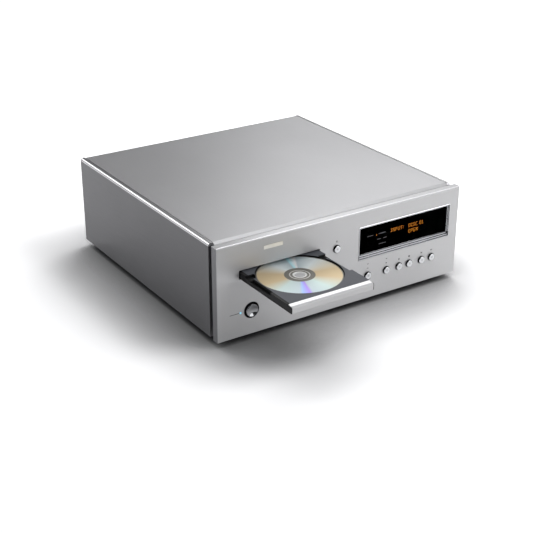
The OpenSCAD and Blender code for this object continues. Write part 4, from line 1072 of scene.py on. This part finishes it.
@dataclass
class Controls:
    """The push buttons, the power button and the marks printed beside them."""

    buttons: dict[str, tuple[Mark, ...]] = field(
        default_factory=lambda: {
            "open_close_button": (Mark.OPEN,),
            "input_button": (Mark.LEVEL, Mark.LEVEL),
            "play_button": (Mark.PLAY, Mark.LEVEL),
            "pause_button": (Mark.PAUSE,),
            "stop_button": (Mark.STOP,),
            "previous_button": (Mark.PREVIOUS,),
            "next_button": (Mark.NEXT,),
        }
    )
    button_radius: float = 6.0 * MM
    button_edge: float = 1.8 * MM
    button_hollow: float = 0.35 * MM
    barrel_depth: float = 0.4 * MM
    barrel_shade_tone: str = "#2c2d2f"
    barrel_roughness: float = 0.2
    knob_radius: float = 9.5 * MM
    knob_edge: float = 0.5 * MM
    knob_hollow: float = 2.6 * MM
    flange_thickness: float = 1.2 * MM
    dish_steps: int = 6
    edge_steps: int = 6
    mark_size: float = 3.0 * MM
    mark_rise: float = 10.2 * MM
    mark_step: float = 6.9 * MM
    label_length: float = 15.0 * MM
    label_height: float = 0.8 * MM
    label_gap: float = 2.4 * MM

    def build(self) -> None:
        """Turns the buttons and prints the marks."""
        dress(DARK_NICKEL, "power_ring")
        dress(BLUE_LAMP, "power_lamp")
        dress(PALE_ALUMINIUM, "badge_plate")
        face_y = corners("play_button")[0].y
        # Painted shade: each button's barrel behind its face is made dark, on top of the darker chrome.
        barrel = Layer(self.barrel_shade_tone, self.barrel_roughness, (Plane("Y", face_y + self.barrel_depth),))
        plated = replace(SHADED_BUTTON_CHROME, layers=(barrel,)).make()
        for name in self.buttons:
            self.turn_cap(name, self.button_radius, self.button_edge, self.button_hollow, plated)
        # Painted shade: the power button's chrome is made darker than the bezel's.
        shaded_knob_chrome = SHADED_KNOB_CHROME.make()
        self.turn_cap("power_button", self.knob_radius, self.knob_edge, self.knob_hollow, shaded_knob_chrome)
        self.print_marks()

    def turn_cap(self, name: str, radius: float, edge: float, hollow: float, chrome: Material) -> None:
        """Turns a button: a dished face, a rounded shoulder, the barrel, and the flange that keeps it in.

        Args:
            name: The button's node and body.
            radius: The barrel's radius.
            edge: The shoulder's radius.
            hollow: The depth of the dish.
            chrome: The button's material.
        """
        low, high = corners(name)
        lip = radius - edge
        shares = [step / self.dish_steps for step in range(self.dish_steps)]
        face = [(lip * share, hollow * (1 - share ** 2)) for share in shares]
        turns = [math.pi / 2 * step / self.edge_steps for step in range(self.edge_steps + 1)]
        shoulder = [(lip + edge * math.sin(turn), edge * (1 - math.cos(turn))) for turn in turns]
        back = high.y - low.y
        neck = back - self.flange_thickness
        flange = (high.x - low.x) / 2
        shank = [(radius, neck), (flange, neck), (flange, back), (0, back)]
        middle = middle_of(name)
        middle.y = low.y
        cap = turned(face + shoulder + shank, middle, Axis.DEPTH)
        piece_from(cap, name + "_cap", chrome, name, (name,))

    def print_marks(self) -> None:
        """Prints a sign above each button and a line beside the power lamp."""
        face_y = corners("front_panel")[0].y
        shape = bmesh.new()
        for name, marks in self.buttons.items():
            middle = middle_of(name)
            for row, mark in enumerate(marks):
                rise = self.mark_rise + row * self.mark_step
                start = Vector((middle.x - self.mark_size / 2, face_y, middle.z + rise))
                for outline in mark.value:
                    print_flat(shape, outline, start, self.mark_size)
        lamp = middle_of("power_lamp")
        left = lamp.x - self.label_gap - self.label_length
        start = Vector((left, face_y, lamp.z - self.label_height / 2))
        print_bar(shape, start, self.label_length, self.label_height)
        piece_from(shape, "printed_marks", INK.make(), "case")


@dataclass
class TrayUnit:
    """The tray with its lip and the disc that lies in it."""

    # Painted highlight on the tray's top faces.
    top_skin: float = 0.3 * MM
    black_border: float = 4.5 * MM
    top_highlight_tone: str = "#5c5f66"
    top_roughness: float = 0.42
    # Painted highlight on the lip's sloping top and painted shade on its nose.
    lip_slope: float = 2.1 * MM
    slope_highlight_tone: str = "#d4d4d5"
    slope_roughness: float = 0.32
    nose_depth: float = 3.5 * MM
    nose_shade_tone: str = "#a8a8aa"
    nose_roughness: float = 0.45
    hole_radius: float = 7.5 * MM
    disc_edge: float = 0.2 * MM
    ring_radius: float = 17.0 * MM
    ring_width: float = 1.0 * MM
    ring_height: float = 0.2 * MM
    groove_radius: float = 11.0 * MM
    groove_mouth: float = 0.5 * MM
    groove_floor: float = 0.3 * MM
    groove_depth: float = 0.15 * MM
    disc_steps: int = 160

    def build(self) -> None:
        """Dresses the tray and turns the disc."""
        self.dress_tray()
        self.dress_lip()
        self.turn_disc()

    def dress_tray(self) -> None:
        """Dresses the tray: black walls, and a painted highlight that makes its top blue grey inside a black
        left border.
        """
        low, high = corners("tray")
        # Painted highlight: the top faces are made lighter than the black walls.
        planes = (Plane("Z", high.z - self.top_skin), Plane("X", low.x + self.black_border))
        top = Layer(self.top_highlight_tone, self.top_roughness, planes)
        dress(replace(TRAY_PLASTIC, layers=(top,)), "tray")

    def dress_lip(self) -> None:
        """Dresses the lip: a painted highlight on its sloping top behind the nose, and painted shade on the
        nose, each with its own gloss.
        """
        low, high = corners("tray_lip")
        above = Plane("Z", high.z - self.lip_slope)
        nose_y = low.y + self.nose_depth
        # Painted highlight on the sloping top, painted shade on the nose.
        layers = (
            Layer(self.slope_highlight_tone, self.slope_roughness, (above, Plane("Y", nose_y))),
            Layer(self.nose_shade_tone, self.nose_roughness, (above, Plane("Y", nose_y, -1))),
        )
        dress(replace(BLASTED_ALUMINIUM, name="aluminium_bead_blasted_lip_painted_light", layers=layers), "tray_lip")

    def turn_disc(self) -> None:
        """Turns the disc with its raised ring, its hub groove and its rounded rim."""
        low, high = corners("disc")
        middle = middle_of("disc")
        middle.z = low.z
        rim = (high.x - low.x) / 2
        crest = high.z - low.z
        top = crest - self.ring_height
        hole, edge, groove = self.hole_radius, self.disc_edge, self.groove_radius
        floor = top - self.groove_depth
        under = [(hole, edge), (hole + edge, 0), (rim - edge, 0), (rim, edge)]
        over = [(rim, top - edge), (rim - edge, top)]
        ring, ring_in = self.ring_radius, self.ring_radius - self.ring_width
        raised = [(ring, top), (ring - edge, crest), (ring_in + edge, crest), (ring_in, top)]
        outer_wall = [(groove + self.groove_mouth, top), (groove + self.groove_floor, floor)]
        inner_wall = [(groove - self.groove_floor, floor), (groove - self.groove_mouth, top)]
        bore = [(hole + edge, top), (hole, top - edge)]
        profile = under + over + raised + outer_wall + inner_wall + bore
        shape = turned(profile, middle, Axis.HEIGHT, closed=True, steps=self.disc_steps)
        finish = replace(MIRRORED_DISC, centre=(middle.x, middle.y))
        piece_from(shape, "disc_mirrored", finish.make(), "disc", ("disc",))


@dataclass
class Mechanism:
    """The loader, the traverse and the electronics inside the case."""

    moulded: tuple[str, ...] = (
        "loader_frame", "turntable", "pickup_sled", "clamp_puck", "power_switch", "key_switches",
        "balanced_sockets", "digital_sockets", "mains_inlet",
    )
    boards: tuple[str, ...] = ("display_board", "key_board", "power_board", "audio_board")

    def build(self) -> None:
        """Dresses what is inside the case."""
        dress(BLACK_PLASTIC, *self.moulded)
        dress(ACETAL, "loading_gear", "loading_pulley", "lift_cam")
        dress(MOTOR_CAN, "loading_motor", "spindle_motor", "sled_motor")
        dress(BRASS, "motor_pulley", "board_posts", "line_sockets")
        dress(SOLDER_MASK, *self.boards)
        dress(VARNISHED_TAPE, "transformer")
        dress(SHRINK_SLEEVE, "filter_capacitors")
        dress(LENS_GLASS, "pickup_lens")


@dataclass(frozen=True)
class SoftBox:
    """A soft light: a bright rectangle aimed at a point."""

    name: str
    place: tuple[float, float, float]
    aim: tuple[float, float, float]
    size: tuple[float, float]
    watts: float

    def build(self) -> None:
        """Adds the light."""
        lamp = bpy.data.lights.new(self.name, "AREA")
        lamp.shape = "RECTANGLE"
        lamp.size, lamp.size_y = self.size
        lamp.energy = self.watts
        light = bpy.data.objects.new(self.name, lamp)
        light.location = self.place
        away = Vector(self.aim) - Vector(self.place)
        light.rotation_euler = away.to_track_quat("-Z", "Y").to_euler()
        bpy.context.scene.collection.objects.link(light)


@dataclass
class Studio:
    """The pale floor, the soft light and the camera."""

    camera_place: tuple[float, float, float] = (-0.906684, -1.340369, 0.767284)
    camera_tilt: float = 65.003
    camera_turn: float = -33.06
    lens_mm: float = 76.52
    sensor_mm: float = 36.0
    far_clip: float = 50.0
    floor_half: float = 8.0
    room_colour: str = "#f2f3f5"
    room_strength: float = 0.1
    boxes: tuple[SoftBox, ...] = (
        SoftBox("back_right_box", (1.6, 1.4, 1.9), (0, 0.05, 0.1), (1.6, 1.6), 17),
        SoftBox("back_left_box", (-1.1, 2.0, 1.3), (-0.2, 0.05, 0.1), (1.6, 0.8), 14),
        SoftBox("ceiling_box", (0.5, 1.2, 2.5), (0, 0, 0), (2.4, 1.4), 14),
        SoftBox("front_top_box", (1.4, -1.1, 2.2), (0, -0.1, 0.1), (1.4, 1.2), 22),
        SoftBox("front_right_box", (1.6, -2.4, 0.9), (0, -0.15, 0.08), (2.0, 1.4), 28),
    )

    def build(self) -> None:
        """Sets up the floor, the light and the camera."""
        self.lay_floor()
        self.light_room()
        for box in self.boxes:
            box.build()
        self.place_camera()
        bpy.context.scene.view_settings.view_transform = "Standard"

    def lay_floor(self) -> None:
        """Lays the floor."""
        shape = bmesh.new()
        bmesh.ops.create_grid(shape, x_segments=1, y_segments=1, size=self.floor_half)
        mesh = bpy.data.meshes.new("studio_floor")
        shape.to_mesh(mesh)
        shape.free()
        mesh.materials.append(PAPER_BACKDROP.make())
        floor = bpy.data.objects.new("studio_floor", mesh)
        bpy.context.scene.collection.objects.link(floor)

    def light_room(self) -> None:
        """Gives the room an even pale light."""
        world = bpy.data.worlds.new("studio_room")
        world.use_nodes = True
        background = world.node_tree.nodes["Background"]
        background.inputs["Color"].default_value = linear(self.room_colour)
        background.inputs["Strength"].default_value = self.room_strength
        bpy.context.scene.world = world

    def place_camera(self) -> None:
        """Puts the camera at the photograph's angle."""
        lens = bpy.data.cameras.new("photo_camera")
        lens.lens = self.lens_mm
        lens.sensor_width = self.sensor_mm
        lens.clip_end = self.far_clip
        camera = bpy.data.objects.new("photo_camera", lens)
        camera.location = self.camera_place
        camera.rotation_euler = (math.radians(self.camera_tilt), 0, math.radians(self.camera_turn))
        bpy.context.scene.collection.objects.link(camera)
        bpy.context.scene.camera = camera


def main() -> None:
    """Builds the player's parts in order, then the studio."""
    logging.basicConfig(level=logging.INFO, format="%(message)s")
    for part in (Case(), Display(), Controls(), TrayUnit(), Mechanism(), Studio()):
        LOG.info("Building %s", type(part).__name__)
        part.build()


if __name__ == "__main__":
    main()
